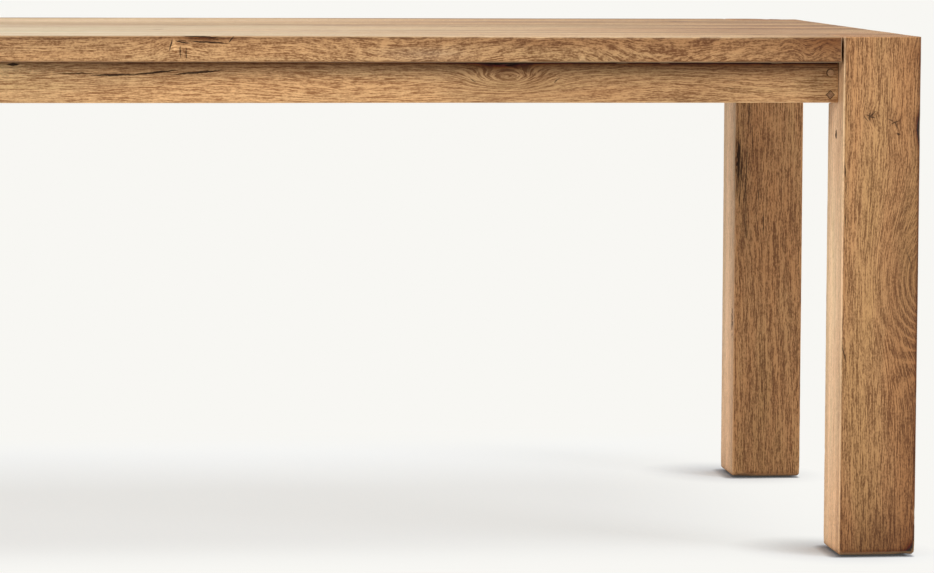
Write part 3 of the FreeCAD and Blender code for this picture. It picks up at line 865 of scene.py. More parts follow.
        # Hollows are darkened by their depth: painted shade in the recess, over the dark bark of a bark
        # pocket.
        levels[Blemish.STAIN_AND_PAINTED_LIGHT] -= np.clip(levels[Blemish.HOLLOW] * 0.22, 0, 0.7)
        near = np.minimum(points - np.array(self.low), np.array(self.high) - points)
        near = near[:, self.oak.run.sides()] + 1e-7
        named = {kind.value: values for kind, values in levels.items()}
        return named | {"wear": rubbed, "facing": near[:, 1] / near.sum(1)}

    def build(self) -> None:
        """Make, wear, mark and dress the board."""
        shape = self.blank()
        mesh = bpy.data.meshes.new(self.name)
        shape.to_mesh(mesh)
        shape.free()
        flat = np.empty(len(mesh.vertices) * 3, np.float32)
        mesh.vertices.foreach_get("co", flat)
        points = flat.reshape(-1, 3).astype(float)
        moved, rubbed = self.worn(points)
        moved = self.hollowed(points, moved)
        mesh.vertices.foreach_set("co", moved.astype(np.float32).ravel())
        for name, values in self.painted(points, rubbed).items():
            layer = mesh.attributes.new(name, "FLOAT", "POINT")
            layer.data.foreach_set("value", values.astype(np.float32))
        mesh.update()
        mesh.shade_smooth()
        mesh.set_sharp_from_angle(angle=SHARP)
        mesh.materials.append(self.oak.dress((self.low + self.high) / 2))
        piece = bpy.data.objects.new(self.name, mesh)
        bpy.context.scene.collection.objects.link(piece)
        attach(piece, "root")
        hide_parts(self.node)
        log.info("%s: %d points", self.name, len(points))


def chance_marks(seed: int, low: Triple, high: Triple, run: Run, knots: int = 3,
                 patches: int = 5) -> tuple[Mark, ...]:
    """Knots, stains and rough places for a board with no particular ones.

    Args:
        seed: Picks the marks.
        low: Lowest corner in millimetres.
        high: Highest corner in millimetres.
        run: The way the fibres run.
        knots: How many knots.
        patches: How many stains, rough places and curls.

    Returns:
        The marks.
    """
    draw = np.random.default_rng(seed)
    marks = []

    def place() -> Triple:
        """Anywhere in the board."""
        return tuple(draw.uniform(np.array(low), np.array(high)))

    for _ in range(knots):
        at, size = place(), draw.uniform(7, 15)
        marks += [Mark(Blemish.SWIRL, at, run.spread(size * 4.5, size * 1.5), draw.uniform(9, 17)),
                  Mark(Blemish.STAIN_AND_PAINTED_LIGHT, at, run.spread(size * 1.5, size * 0.8), -draw.uniform(0.3, 0.55)),
                  Mark(Blemish.CHECKS, at, run.spread(size * 2.0, size), draw.uniform(0.4, 0.8))]
    for _ in range(patches):
        marks += [Mark(Blemish.STAIN_AND_PAINTED_LIGHT, place(), run.spread(draw.uniform(90, 260), draw.uniform(14, 45)),
                       draw.uniform(-0.16, 0.12)),
                  Mark(Blemish.CHECKS, place(), run.spread(draw.uniform(60, 160), draw.uniform(10, 30)),
                       draw.uniform(0.15, 0.5)),
                  Mark(Blemish.CURL, place(), run.spread(draw.uniform(90, 220), 60.0),
                       draw.uniform(0.1, 0.4))]
    return tuple(marks)


@dataclass(frozen=True)
class Timber:
    """Sizes that the boards share, in millimetres."""

    length: float = 2743.0
    width: float = 1016.0
    height: float = 762.0
    leg: float = 114.0


@dataclass(frozen=True)
class Plank:
    """What sets the wood of one inner plank apart."""

    pith: tuple[float, float]
    tone: float
    pale: float


@dataclass(frozen=True)
class Top(Timber):
    """Planks between two edge planks; sizes in millimetres."""

    thickness: float = 38.0
    edge: float = 117.0
    inner: tuple[Plank, ...] = (Plank((0.03, -0.10), 1.10, 0.74), Plank((-0.06, 0.03), 1.02, 0.66),
                                Plank((0.01, -0.16), 0.96, 0.60), Plank((0.05, 0.08), 0.82, 0.34),
                                Plank((-0.02, -0.09), 1.00, 0.52))
    late: Colour = linear(205, 164, 115)
    early: Colour = linear(124, 84, 49)

    def pace(self) -> float:
        """Width of an inner plank."""
        return (self.width - 2 * self.edge) / len(self.inner)

    def worn_face(self, left: float) -> tuple[Mark, ...]:
        """The upper face: pale, scrubbed and streaked, with dirt in its seams.

        Args:
            left: How much pale sapwood is left in it.

        Returns:
            Its marks.
        """
        z = self.height
        shade = tuple(Mark(Blemish.STAIN_AND_PAINTED_LIGHT, (x, 0, z), (620, FAR, 1.3), -0.14) for x in (-1480, 1480))
        own = (Mark(Blemish.PALE, (-100, 0, z), (1150, FAR, 1.3), left),
               Mark(Blemish.SCRUBBED, (0, 0, z), (FAR, FAR, 1.3), 1.0),
               Mark(Blemish.STAIN_AND_PAINTED_LIGHT, (0, 0, z), (FAR, FAR, 1.3), 0.05))
        return own + shade + self.streaks() + self.seams()

    def seams(self) -> tuple[Mark, ...]:
        """Dirt in the joints between the planks."""
        places = (self.edge - self.width / 2 + i * self.pace() for i in range(len(self.inner) + 1))
        return tuple(Mark(Blemish.STAIN_AND_PAINTED_LIGHT, (0, y, self.height), (FAR, 1.8, 8), -0.55) for y in places)

    def streaks(self) -> tuple[Mark, ...]:
        """Broad pale and dark streaks along the upper face."""
        places = (
            (330, 95, 420, 32, -0.17), (520, 30, 260, 28, -0.10), (1190, 150, 180, 48, 0.22),
            (1020, 190, 110, 28, 0.14), (560, 200, 210, 40, 0.07), (150, 310, 270, 60, 0.20),
            (1240, 330, 150, 40, -0.16), (300, -165, 540, 54, 0.15), (980, -212, 130, 24, 0.15),
            (1190, -96, 110, 22, -0.15), (1170, -262, 110, 24, -0.17), (60, -358, 270, 30, 0.24),
            (420, -262, 170, 24, 0.09), (150, -435, 330, 40, 0.17), (1120, -466, 170, 26, 0.16),
            (336, 27, 30, 15, -0.34), (278, -190, 8, 12, -0.45), (1145, 330, 12, 30, -0.25),
        )
        return marks_from({Blemish.STAIN_AND_PAINTED_LIGHT: tuple(
            (x, y, self.height, along, across, 1.6, level) for x, y, along, across, level in places)})

    def ends(self, strength: float) -> tuple[Mark, ...]:
        """The planks grow a little darker to both ends."""
        reach = (820, FAR, FAR)
        return tuple(Mark(Blemish.STAIN_AND_PAINTED_LIGHT, (x, 0, self.height), reach, strength) for x in (-1500, 1500))

    def front_plank(self) -> None:
        """Build the front edge plank, with its bark pocket, sapwood, curl and stains, and painted shade and
        highlights along its arrises.
        """
        y, end = -self.width / 2, self.length / 2 - self.edge
        z, foot = self.height, self.height - self.thickness
        marks = self.ends(-0.20) + self.worn_face(0.66) + marks_from({
            Blemish.STAIN_AND_PAINTED_LIGHT: (
                # These four marks are painted shade: under the front top arris, a line below it, along the
                # bottom arris over the apron, and in the joint with the leg.
                (0, y, z, FAR, 4, 15, -0.20), (100, y, 760, 520, 4, 2.2, -0.34),
                (0, y, foot, FAR, 60, 1.8, -0.80), (end, -450, 745, 1.5, 60, 26, -0.8),
                # The light lines at 288 and 310 beside the checks are painted highlights.
                (330, y, 757.0, 38, 7, 5.0, -0.24), (288, y, 747, 3.6, 6, 9, 0.45),
                (310, y, 740, 3.2, 6, 8, 0.25), (800, y, 752, 50, 8, 4, -0.22),
                (1240, y, 745, 70, 40, 40, -0.30), (560, y, 745, 260, 8, 60, 0.05),
                (960, y, 740, 330, 8, 60, -0.14), (20, y, 740, 200, 8, 60, -0.05),
                # These two rows are a painted highlight along the front top arris.
                (900, y, z, 300, 2.8, 2.4, 0.55), (120, -502, z, 260, 12, 2, 0.12),
                (1145, -420, z, 18, 14, 10, -0.35),
            ),
            Blemish.PALE: (
                # The pale line at 980 is a painted highlight along the front top arris.
                (980, y, z, 330, 2.6, 2.2, 0.75), (650, y, 736, 60, 10, 10, 0.18),
            ),
            Blemish.SWIRL: (
                (120, y, 738, 160, 50, 40, 9.0), (620, y, 712, 100, 60, 46, 20.0),
                (985, y, 700, 110, 60, 46, 34.0), (850, y, 750, 90, 50, 40, -10.0),
                (450, y, 745, 60, 50, 30, -8.0), (1180, y, 735, 15, 40, 22, -6.0),
                (1205, y, 738, 12, 40, 22, 7.0), (1232, y, 742, 13, 40, 22, -6.0),
                (318, y, 757, 60, 20, 14, -9.0), (285, y, 745, 34, 20, 22, -7.0),
            ),
            Blemish.HOLLOW: ((330, y, 757.5, 34, 6, 3.8, 0.9),),
            Blemish.CHECKS: ((322, y, 754, 45, 8, 7, 0.6),),
            Blemish.CURL: (
                (1170, y, 745, 110, 40, 40, 0.5), (960, y, 745, 160, 40, 40, 0.2),
            ),
            Blemish.FIGURE: (
                (625, y, 735, 60, 40, 60, 1.0), (1060, y, 735, 140, 40, 60, 2.2),
                (790, y, 735, 80, 40, 60, 1.1),
            ),
        })
        slits = slits_from((
            (283, y, 749, 11, 7, 1.5, -78), (296.5, y, 739, 11, 7, 1.1, 88, 0.9),
            (304.5, y, 737, 11, 7, 1.2, 86, 0.9), (300, y, 752.5, 14, 7, 1.2, 14),
            (326, y, 760.6, 40, 5, 1.3, 2), (334, y, 753, 36, 5, 1.4, 4),
            (369, y, 757, 7, 5, 1.4, -52),
        ))
        oak = Oak("oak_front_edge_plank", self.late, self.early, Run.ALONG, 3.0, pith=(0.11, -0.05),
                  lines=1.2, slits=slits)
        Board("plank_front_edge", "top_plank_front_edge", "oak_top", oak, seed=11, marks=marks,
              chips=0.0055).build()

    def back_plank(self) -> None:
        """Build the back edge plank, which is dark along its back edge: painted shade along the back arris.
        """
        y, z, inside = self.width / 2, self.height, self.length / 2 - self.leg
        low, high = (-inside, y - self.edge, z - self.thickness), (inside, y, z)
        marks = chance_marks(21, low, high, Run.ALONG) + self.ends(-0.30) + self.worn_face(0.50)
        marks += marks_from({Blemish.STAIN_AND_PAINTED_LIGHT: (
            # The first three rows are painted shade along the back arris.
            (0, y, z, FAR, 32, 30, -0.40), (150, y, z, 85, 42, 30, -0.36),
            (345, y, z, 14, 36, 30, -0.40), (1150, 470, z, 260, 70, 30, 0.16),
        )})
        oak = Oak("oak_back_edge_plank", self.late, self.early, Run.ALONG, 17.0, pith=(-0.03, 0.09))
        Board("plank_back_edge", "top_plank_back_edge", "oak_top", oak, seed=12, marks=marks).build()

    def inner_planks(self) -> None:
        """Build the planks between, each with a tone of its own."""
        x, z = self.length / 2, self.height
        for i, plank in enumerate(self.inner):
            y = self.edge - self.width / 2 + i * self.pace()
            low, high = (-x, y, z - self.thickness), (x, y + self.pace(), z)
            marks = chance_marks(40 + i, low, high, Run.ALONG, knots=4) + self.ends(-0.26)
            marks += self.worn_face(plank.pale)
            late, early = toned(self.late, plank.tone), toned(self.early, plank.tone)
            oak = Oak(f"oak_inner_plank_{i + 1}", late, early, Run.ALONG, 30.0 + 7 * i, pith=plank.pith,
                      ring=0.0030 + 0.0003 * (i % 3), tints=9.0)
            Board(f"plank_{i + 1}", f"top_plank_{i + 1}", "oak_top", oak, seed=13 + i, slice_length=0.006,
                  pitch=0.011, steps=(0.0010, 0.0024, 0.0050), arris=0.0020, chips=0.0025,
                  marks=marks).build()

    def build(self) -> None:
        """Build the edge planks, and then those between them."""
        self.front_plank()
        self.back_plank()
        self.inner_planks()


@dataclass(frozen=True)
class Corner:
    """What sets the wood of one leg apart, and which way its flat for the bolt looks."""

    flat: tuple[int, int]
    pith: tuple[float, float]
    shade: float = 1.0
    ring: float = 0.0062
    streaks: float = 1.05


@dataclass(frozen=True)
class Legs(Timber):
    """Four square legs whose end grain shows in the top; sizes in millimetres."""

    late: Colour = linear(185, 139, 92)
    early: Colour = linear(110, 72, 40)

    def front_right(self) -> Grown:
        """Cathedral figure, two small knots, the darker foot, and the painted light and shade of the front
        right leg.

        Returns:
            Its marks, then its drying checks.
        """
        x, y = self.length / 2 - self.leg, -self.width / 2
        marks = marks_from({
            Blemish.SWIRL: (
                (1386, y, 410, 58, 90, 100, 104.0), (1385, y, 650, 44, 90, 110, 16.0),
                (1297, y, 647, 12, 16, 20, 7.0), (1334, y, 637, 9, 14, 14, 6.0),
            ),
            Blemish.FIGURE: (
                (1356, y, 350, 42, 90, 120, 3.2), (1300, y, 330, 26, 90, 160, 0.9),
                (1350, y, 130, 40, 90, 110, 0.8),
            ),
            Blemish.STAIN_AND_PAINTED_LIGHT: (
                (1297, y, 647, 9, 10, 7, -0.28), (1334, y, 637, 7, 10, 6, -0.30),
                (1310, y, 750, 80, 20, 60, -0.05), (1266, y, 380, 11, 14, 5000, -0.05),
                (1340, y, 648, 40, 12, 9, -0.13), (1339, y, 620.5, 3, 6, 3, -0.6),
                (1369, y, 628, 6, 10, 26, -0.45), (1366, y, 735, 12, 16, 22, -0.26),
                (1340, y, 330, 40, 30, 170, -0.07), (1374, y, 330, 36, 40, 460, -0.34),
                # The rows at x on the inner side are painted light.
                (x, -450, 50, 2, 90, 110, 0.14), (1315, y, 10, 80, 20, 50, -0.38),
                (1315, y, 90, 80, 20, 110, -0.16), (1369, y, 10, 10, 10, 12, -0.5),
                (x, -440, 500, 2, 90, 260, 0.055), (1261.2, y, 400, 1.6, 1.6, 5000, -0.26),
                # Painted shade: the line on the right arris, and the joint with the top at x.
                (x + self.leg, y, 300, 2.4, 2.5, 900, -0.75), (x, -450, 743, 2, 58, 18, -0.8),
            ),
            Blemish.HOLLOW: ((1370, y, 628, 4, 5, 18, 2.0),),
            Blemish.CURL: (
                (1315, y, 560, 60, 60, 190, 0.25), (1350, y, 250, 30, 60, 190, 0.25),
            ),
            Blemish.PALE: (
                # Painted light on the inner side at x, and a painted highlight on the left arris at 1257.9.
                (x, -440, 400, 1.6, 90, 460, 0.86), (1257.9, y, 400, 1.3, 1.6, 5000, 0.8),
            ),
        })
        slits = slits_from((
            (1262.6, y, 300, 17, 6, 1.2, 80), (1261.8, y, 566, 16, 6, 1.4, 84, 0.8),
            (1263, y, 543, 12, 6, 1.2, 95, 0.7), (1262.6, y, 494, 9, 6, 1.3, 87, 0.7),
            (1358, y, 437, 24, 6, 1, 71, 0.6), (1298.5, y, 646, 10, 6, 1.5, 18, 0.8),
            (1296.5, y, 646, 8, 6, 1.5, 100, 0.85), (1300.5, y, 649, 8, 6, 1.3, -42, 0.75),
            (1291, y, 643, 7, 6, 1.2, 55, 0.7), (1334, y, 637, 8, 6, 1.5, -24, 0.8),
            (1336, y, 633, 7, 6, 1.5, 78, 0.85), (1328, y, 641, 7, 6, 1.2, 28, 0.6),
            (1339, y, 620, 3.4, 6, 2.2, 0, 0.9), (x, -455, 618, 9, 9, 1.4, 90),
        ))
        return marks, slits

    def back_right(self) -> Grown:
        """The darker, coarser back right leg with open checks at its inner arris, painted light on its inner
        side and painted shade along its top's back arris.

        Returns:
            Its marks, then its drying checks.
        """
        x, y, z = self.length / 2 - self.leg, self.width / 2 - self.leg, self.height
        marks = marks_from({
            Blemish.STAIN_AND_PAINTED_LIGHT: (
                (1275, y, 520, 22, 20, 170, -0.20), (1320, y, 500, 60, 30, 230, -0.12),
                # Rows at x are painted light on the inner side; the row at the back of the leg's top is
                # painted shade along the back arris.
                (1315, y, 20, 80, 40, 190, -0.22), (x, 460, 480, 2, 90, 500, 0.08),
                (x, 460, 610, 2, 90, 60, 0.07), (1315, y + self.leg, z, 90, 34, 20, -0.34),
            ),
            Blemish.CHECKS: (
                (1272, y, 520, 16, 20, 110, 0.55), (1262, y, 520, 6, 12, 60, 0.8),
                (1300, y, 430, 40, 20, 120, 0.30),
            ),
            Blemish.HOLLOW: (
                (1258.5, y, 535, 3, 4, 42, 2.5), (1360, 500, z, 46, 30, 10, 2.6),
            ),
            Blemish.SWIRL: ((1280, y, 440, 26, 40, 70, 12.0),),
            Blemish.CURL: ((1320, y, 350, 60, 60, 260, 0.3),),
            Blemish.FIGURE: ((1320, y, 200, 60, 60, 220, 1.4),),
            # Painted light on the inner side.
            Blemish.PALE: ((x, 460, 330, 1.6, 90, 600, 0.68),),
        })
        slits = slits_from((
            (1286, y, 560, 38, 8, 0.9, 89), (1276, y, 505, 60, 8, 1, 91),
            (1280, y, 610, 34, 8, 1, 91, 0.8), (1297, y, 470, 22, 8, 0.9, 88),
            (1306, y, 425, 30, 8, 1, 90), (x, 409, 262, 36, 8, 0.9, 90),
        ))
        return marks, slits

    def left(self, front: bool, seed: int) -> Grown:
        """A leg on the left, marked by chance.

        Args:
            front: Whether it is the front one.
            seed: Picks its marks.

        Returns:
            Its marks, and no drying checks.
        """
        x, y = -self.length / 2, -self.width / 2 if front else self.width / 2 - self.leg
        return chance_marks(seed, (x, y, 0), (x + self.leg, y + self.leg, self.height), Run.UP), ()

    def build(self) -> None:
        """Build the four legs."""
        corners = {
            "front_left": Corner((1, 1), (0.11, 0.08), shade=1.03),
            "front_right": Corner((-1, 1), (0.10, 0.16), ring=0.0095),
            "back_right": Corner((-1, -1), (0.09, 0.14), shade=0.95, streaks=1.25),
            "back_left": Corner((1, -1), (0.05, -0.12)),
        }
        # The end grain darkens the top; the dark last millimetres of the foot are painted shade where it
        # meets the floor.
        ends = (Mark(Blemish.STAIN_AND_PAINTED_LIGHT, (0, 0, self.height), (FAR, FAR, 1.3), -0.12),
                Mark(Blemish.STAIN_AND_PAINTED_LIGHT, (0, 0, 2), (FAR, FAR, 6.0), -0.80))
        right = {"front_right": self.front_right, "back_right": self.back_right}
        for i, (name, corner) in enumerate(corners.items()):
            marks, slits = right[name]() if name in right else self.left(name == "front_left", 60 + i)
            late, early = toned(self.late, corner.shade), toned(self.early, corner.shade)
            oak = Oak(f"oak_leg_{name}", late, early, Run.UP, 70.0 + 9 * i, pith=corner.pith,
                      ring=corner.ring, wobble=0.0007, tilt=-0.03, streaks=corner.streaks, grit=1.35,
                      broad=0.22, bands=0.08, lines=1.1, dulled=0.92, pale_wood_and_painted_light=linear(226, 190, 150),
                      slits=slits)
            Board(f"worn_leg_{name}", f"leg_{name}", "oak_leg", oak, seed=31 + i, arris=0.0013,
                  chips=0.0040, marks=marks + ends, flat_corner=corner.flat, pitch=0.006).build()


@dataclass(frozen=True)
class Aprons(Timber):
    """Four low aprons with a button groove and the outlines of their pegs; sizes in millimetres."""

    setback: float = 38.0
    foot: float = 664.0
    head: float = 724.0
    groove_drop: float = 12.0
    groove_height: float = 10.0
    peg_from_leg: float = 12.0
    peg_heights: tuple[float, float] = (44.0, 12.0)
    late: Colour = linear(220, 177, 125)
    early: Colour = linear(144, 101, 62)

    def front(self) -> Grown:
        """The long swirl, the cracks and the broad tones of the front apron.

        Returns:
            Its marks, then its cracks.
        """
        y = self.setback - self.width / 2
        marks = marks_from({
            Blemish.SWIRL: (
                (770, y, 699, 52, 30, 15, 25.0), (770, y, 697, 110, 30, 34, 5.0),
                (60, y, 690, 120, 30, 20, 3.0), (330, y, 700, 160, 30, 24, -4.0),
                (560, y, 680, 120, 30, 24, 10.0), (1000, y, 690, 110, 30, 24, -8.0),
            ),
            Blemish.FIGURE: (
                (770, y, 699, 70, 30, 24, 1.6), (1000, y, 690, 260, 30, 60, 1.2),
            ),
            Blemish.STAIN_AND_PAINTED_LIGHT: (
                (760, y, 716, 50, 12, 8, -0.28), (815, y, 697, 14, 12, 9, -0.14),
                # The row at 60 lightens the painted shade under the top at the left end.
                (250, y, 672, 260, 20, 12, 0.12), (60, y, 714, 150, 20, 14, 0.30),
                (46, y, 714.5, 38, 20, 3.5, 0.35), (100, y, 690, 150, 20, 40, -0.06),
                (400, y, 690, 200, 20, 40, 0.05), (800, y, 690, 150, 30, 40, -0.18),
                (1080, y, 690, 170, 30, 60, -0.17), (180, y, 690, 140, 30, 60, -0.07),
                (620, y, 676, 50, 20, 10, 0.10), (1180, y, 675, 90, 20, 14, 0.07),
            ),
            Blemish.CURL: ((1000, y, 690, 240, 30, 60, 0.25),),
            Blemish.CHECKS: (
                (220, y, 708, 140, 10, 6, 0.35), (1120, y, 700, 160, 10, 12, 0.3),
            ),
        })
        slits = slits_from((
            (59.5, y, 719.8, 11, 6, 2.8, 0), (150, y, 707, 38, 6, 1.3, 1, 0.8),
            (204, y, 704.6, 44, 6, 2.1, -1), (258, y, 708, 46, 6, 1.9, -6),
            (323, y, 708.4, 46, 6, 1.9, -5), (752, y, 721, 16, 6, 1.8, 4), (776, y, 719, 12, 6, 1.5, -8),
            (721, y, 697, 6, 6, 1.3, 30, 0.7), (843, y, 697, 7, 6, 1.3, -35, 0.7),
        ))
        return marks, slits

    def build(self) -> None:
        """Build the four aprons."""
        groove_head = self.head - self.groove_drop
        levels = (groove_head - self.groove_height) * MM, groove_head * MM
        spans = {
            "front": (Run.ALONG, self.length, 1.0),
            "back": (Run.ALONG, self.length, -1.0),
            "left": (Run.ACROSS, self.width, 1.0),
            "right": (Run.ACROSS, self.width, -1.0),
        }
        # Painted shade under the top's overhang, along the apron's upper edge.
        shade = (Mark(Blemish.STAIN_AND_PAINTED_LIGHT, (0, 0, self.head), (FAR, FAR, 10), -0.54),
                 Mark(Blemish.STAIN_AND_PAINTED_LIGHT, (0, 0, self.head), (FAR, FAR, 2.2), -0.35))
        ends = tuple(Mark(Blemish.STAIN_AND_PAINTED_LIGHT, (x, 0, 0), (900, FAR, FAR), -0.20) for x in (-1500, 1500))
        for i, (side, (run, full, inner)) in enumerate(spans.items()):
            reach = (full / 2 - self.leg - self.peg_from_leg) * MM
            pegs = (reach, *((self.foot + height) * MM for height in self.peg_heights))
            low, high = (tuple(c / MM for c in corner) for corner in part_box(f"apron_{side}"))
            marks, slits = self.front() if side == "front" else (chance_marks(90 + i, low, high, run), ())
            oak = Oak(f"oak_apron_{side}", self.late, self.early, run, 120.0 + 11 * i, pith=(0.06, -0.05),
                      ring=0.0046, wander=0.008, wobble=0.0008, bands=0.08, broad=0.24, lines=0.8,
                      streaks=1.25, grit=1.1, specks=0.6, slits=slits, pegs=pegs)
            marks += shade + (ends if run is Run.ALONG else ())
            Board(f"worn_apron_{side}", f"apron_{side}", "oak_apron", oak, seed=51 + i, arris=0.0016,
                  chips=0.0020, marks=marks, groove=(inner, *levels)).build()


@dataclass(frozen=True)
class HiddenOak:
    """Planed, unfinished oak of the pieces underneath."""

    name: str
    run: Run
    turn: float = 0.0
    late: Colour = linear(214, 178, 134)
    early: Colour = linear(158, 116, 74)

    def dress(self) -> bpy.types.Material:
        """Build the finish.

        Returns:
            The material.
        """
        material, g = new_material(self.name)
        turned = g.add("ShaderNodeMapping", {}, {"Vector": g.place(), "Rotation": (0, 0, self.turn)})
        run = self.run
        wave = g.noise(turned, run.spread(3.0, 14.0), 3.0, 1.0)
        across = g.split(turned)[run.sides()[0]]
        band = ((across + wave * 0.03) / 0.0045).part()
        early = band.step(0.0, 0.2) * band.step(0.35, 0.9, 1.0, 0.0)
        fibre = g.noise(turned, run.spread(40.0, 520.0), 5.0, 3.0, 0.6)
        pore = g.noise(turned, run.spread(90.0, 800.0), 7.0, 1.0).step(0.52, 0.66)
        dark = (early * 0.35 + (fibre - 0.5) * 1.1 + pore * 0.3 + 0.15).kept()
        colour = g.mix(dark, self.late, self.early)
        height = 1.0 - pore * 0.4 + (fibre - 0.5) * 0.5
        g.surface({"Base Color": colour, "Roughness": (0.6 + pore * 0.2).kept(),
                   "Normal": g.bump(height, 0.0004, 0.6)})
        return material


@dataclass(frozen=True)
class PegOak:
    """End grain of the pegs: the round ones pale, the square ones dark."""

    name: str = "oak_pegs"
    between: float = 0.690

    def dress(self) -> bpy.types.Material:
        """Build the finish.

        Returns:
            The material.
        """
        material, g = new_material(self.name)
        place = g.place()
        grit = g.noise(place, (900.0, 900.0, 900.0), 2.0, 2.0)
        rays = g.noise(place, (260.0, 260.0, 260.0), 4.0, 3.0)
        low = g.split(place)[2].step(self.between - 0.002, self.between + 0.002, 1.0, 0.0)
        share = (low * 0.50 + (grit - 0.5) * 1.0 + (rays - 0.5) * 0.8 + 0.12).kept()
        colour = g.mix(share, linear(184, 138, 92), linear(78, 44, 22))
        g.surface({"Base Color": colour, "Roughness": (0.6 + (grit - 0.5) * 0.3).kept(),
                   "Normal": g.bump(grit, 0.0003, 0.6)})
        return material


@dataclass(frozen=True)
class ZincSteel:
    """Zinc-plated steel with a fine spangle and faint wear."""

    name: str = "zinc_plated_steel"

    def dress(self) -> bpy.types.Material:
        """Build the finish.

        Returns:
            The material.
        """
        material, g = new_material(self.name)
        place = g.place()
        cloud = g.noise(place, (180.0, 180.0, 180.0), 2.0, 3.0)
        fine = g.noise(place, (1500.0, 1500.0, 1500.0), 5.0, 2.0)
        colour = g.mix(cloud.step(0.35, 0.7), (0.52, 0.52, 0.50), (0.66, 0.66, 0.63))
        g.surface({"Base Color": colour, "Metallic": 1.0, "Roughness": (0.30 + cloud * 0.22).kept(),
                   "Normal": g.bump(fine, 0.00005, 0.5)})
        return material


@dataclass(frozen=True)
class Nylon:
    """Dark brown moulded nylon with a fine grain."""

    name: str = "brown_nylon"

    def dress(self) -> bpy.types.Material:
        """Build the finish.

        Returns:
            The material.
        """
        material, g = new_material(self.name)
        place = g.place()
        fine = g.noise(place, (1400.0, 1400.0, 1400.0), 3.0, 2.0)
        scuff = g.noise(place, (60.0, 300.0, 60.0), 6.0, 3.0).step(0.5, 0.8)
        colour = g.mix(scuff * 0.4, linear(62, 46, 34), linear(98, 80, 62))
        g.surface({"Base Color": colour, "Roughness": (0.42 + fine * 0.2).kept(),
                   "Normal": g.bump(fine, 0.0001, 0.5)})
        return material


@dataclass(frozen=True)
class Underframe:
    """Everything that keeps its solid shape: joints, blocks, rails, buttons, hardware and glides."""

    corners: tuple[str, ...] = ("front_left", "front_right", "back_right", "back_left")
    sides: tuple[str, ...] = ("front", "right", "back", "left")

    def finish(self, nodes: list[str], material: bpy.types.Material) -> None:
        """Give solids a finish.

        Args:
            nodes: Names of the solids.
            material: The finish.
        """
        for name in nodes:
            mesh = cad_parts[name].data
            mesh.materials.clear()
            mesh.materials.append(material)
        log.info("%s on %s", material.name, ", ".join(nodes))

    def dress(self) -> None:
        """Give every carried-over solid its finish."""
        along = HiddenOak("planed_oak_along", Run.ALONG).dress()
        across = HiddenOak("planed_oak_across", Run.ACROSS).dress()
        rising = HiddenOak("planed_oak_slant", Run.ALONG, math.radians(45)).dress()
        falling = HiddenOak("planed_oak_slope", Run.ALONG, math.radians(-45)).dress()
        self.finish([f"spline_{i}" for i in range(1, 7)] + ["top_buttons_left", "top_buttons_right"], along)
        self.finish([f"cross_rail_{i}" for i in range(1, 4)] + ["top_buttons_front", "top_buttons_back"],
                    across)
        self.finish([f"loose_tenons_{corner}" for corner in self.corners], along)
        self.finish(["corner_block_front_left", "corner_block_back_right"], rising)
        self.finish(["corner_block_front_right", "corner_block_back_left"], falling)
        self.finish([f"pegs_{side}" for side in self.sides], PegOak().dress())
        self.finish(["hanger_bolts", "hanger_washers", "hanger_nuts", "corner_block_screws",
                     "cross_rail_screws", "top_button_screws", "glide_nails"], ZincSteel().dress())
        self.finish(["floor_glides"], Nylon().dress())


@dataclass(frozen=True)
class Lamp:
    """A soft rectangular lamp; metres and watts."""

    name: str
    at: Triple
    target: Triple
    size: tuple[float, float]
    power: float
    on_floor: bool = True

    def hang(self, unlit: bpy.types.Collection) -> None:
        """Hang the lamp.

        Args:
            unlit: The floor, for a lamp that leaves it dark.
        """
        lamp = bpy.data.lights.new(self.name, "AREA")
        lamp.shape = "RECTANGLE"
        lamp.size, lamp.size_y = self.size
        lamp.energy = self.power
        holder = bpy.data.objects.new(self.name, lamp)
        turn = (Vector(self.target) - Vector(self.at)).to_track_quat("-Z", "Y").to_matrix().to_4x4()
        holder.matrix_world = Matrix.Translation(self.at) @ turn
        holder.visible_camera = False
        if not self.on_floor:
            holder.light_linking.receiver_collection = unlit
        bpy.context.scene.collection.objects.link(holder)


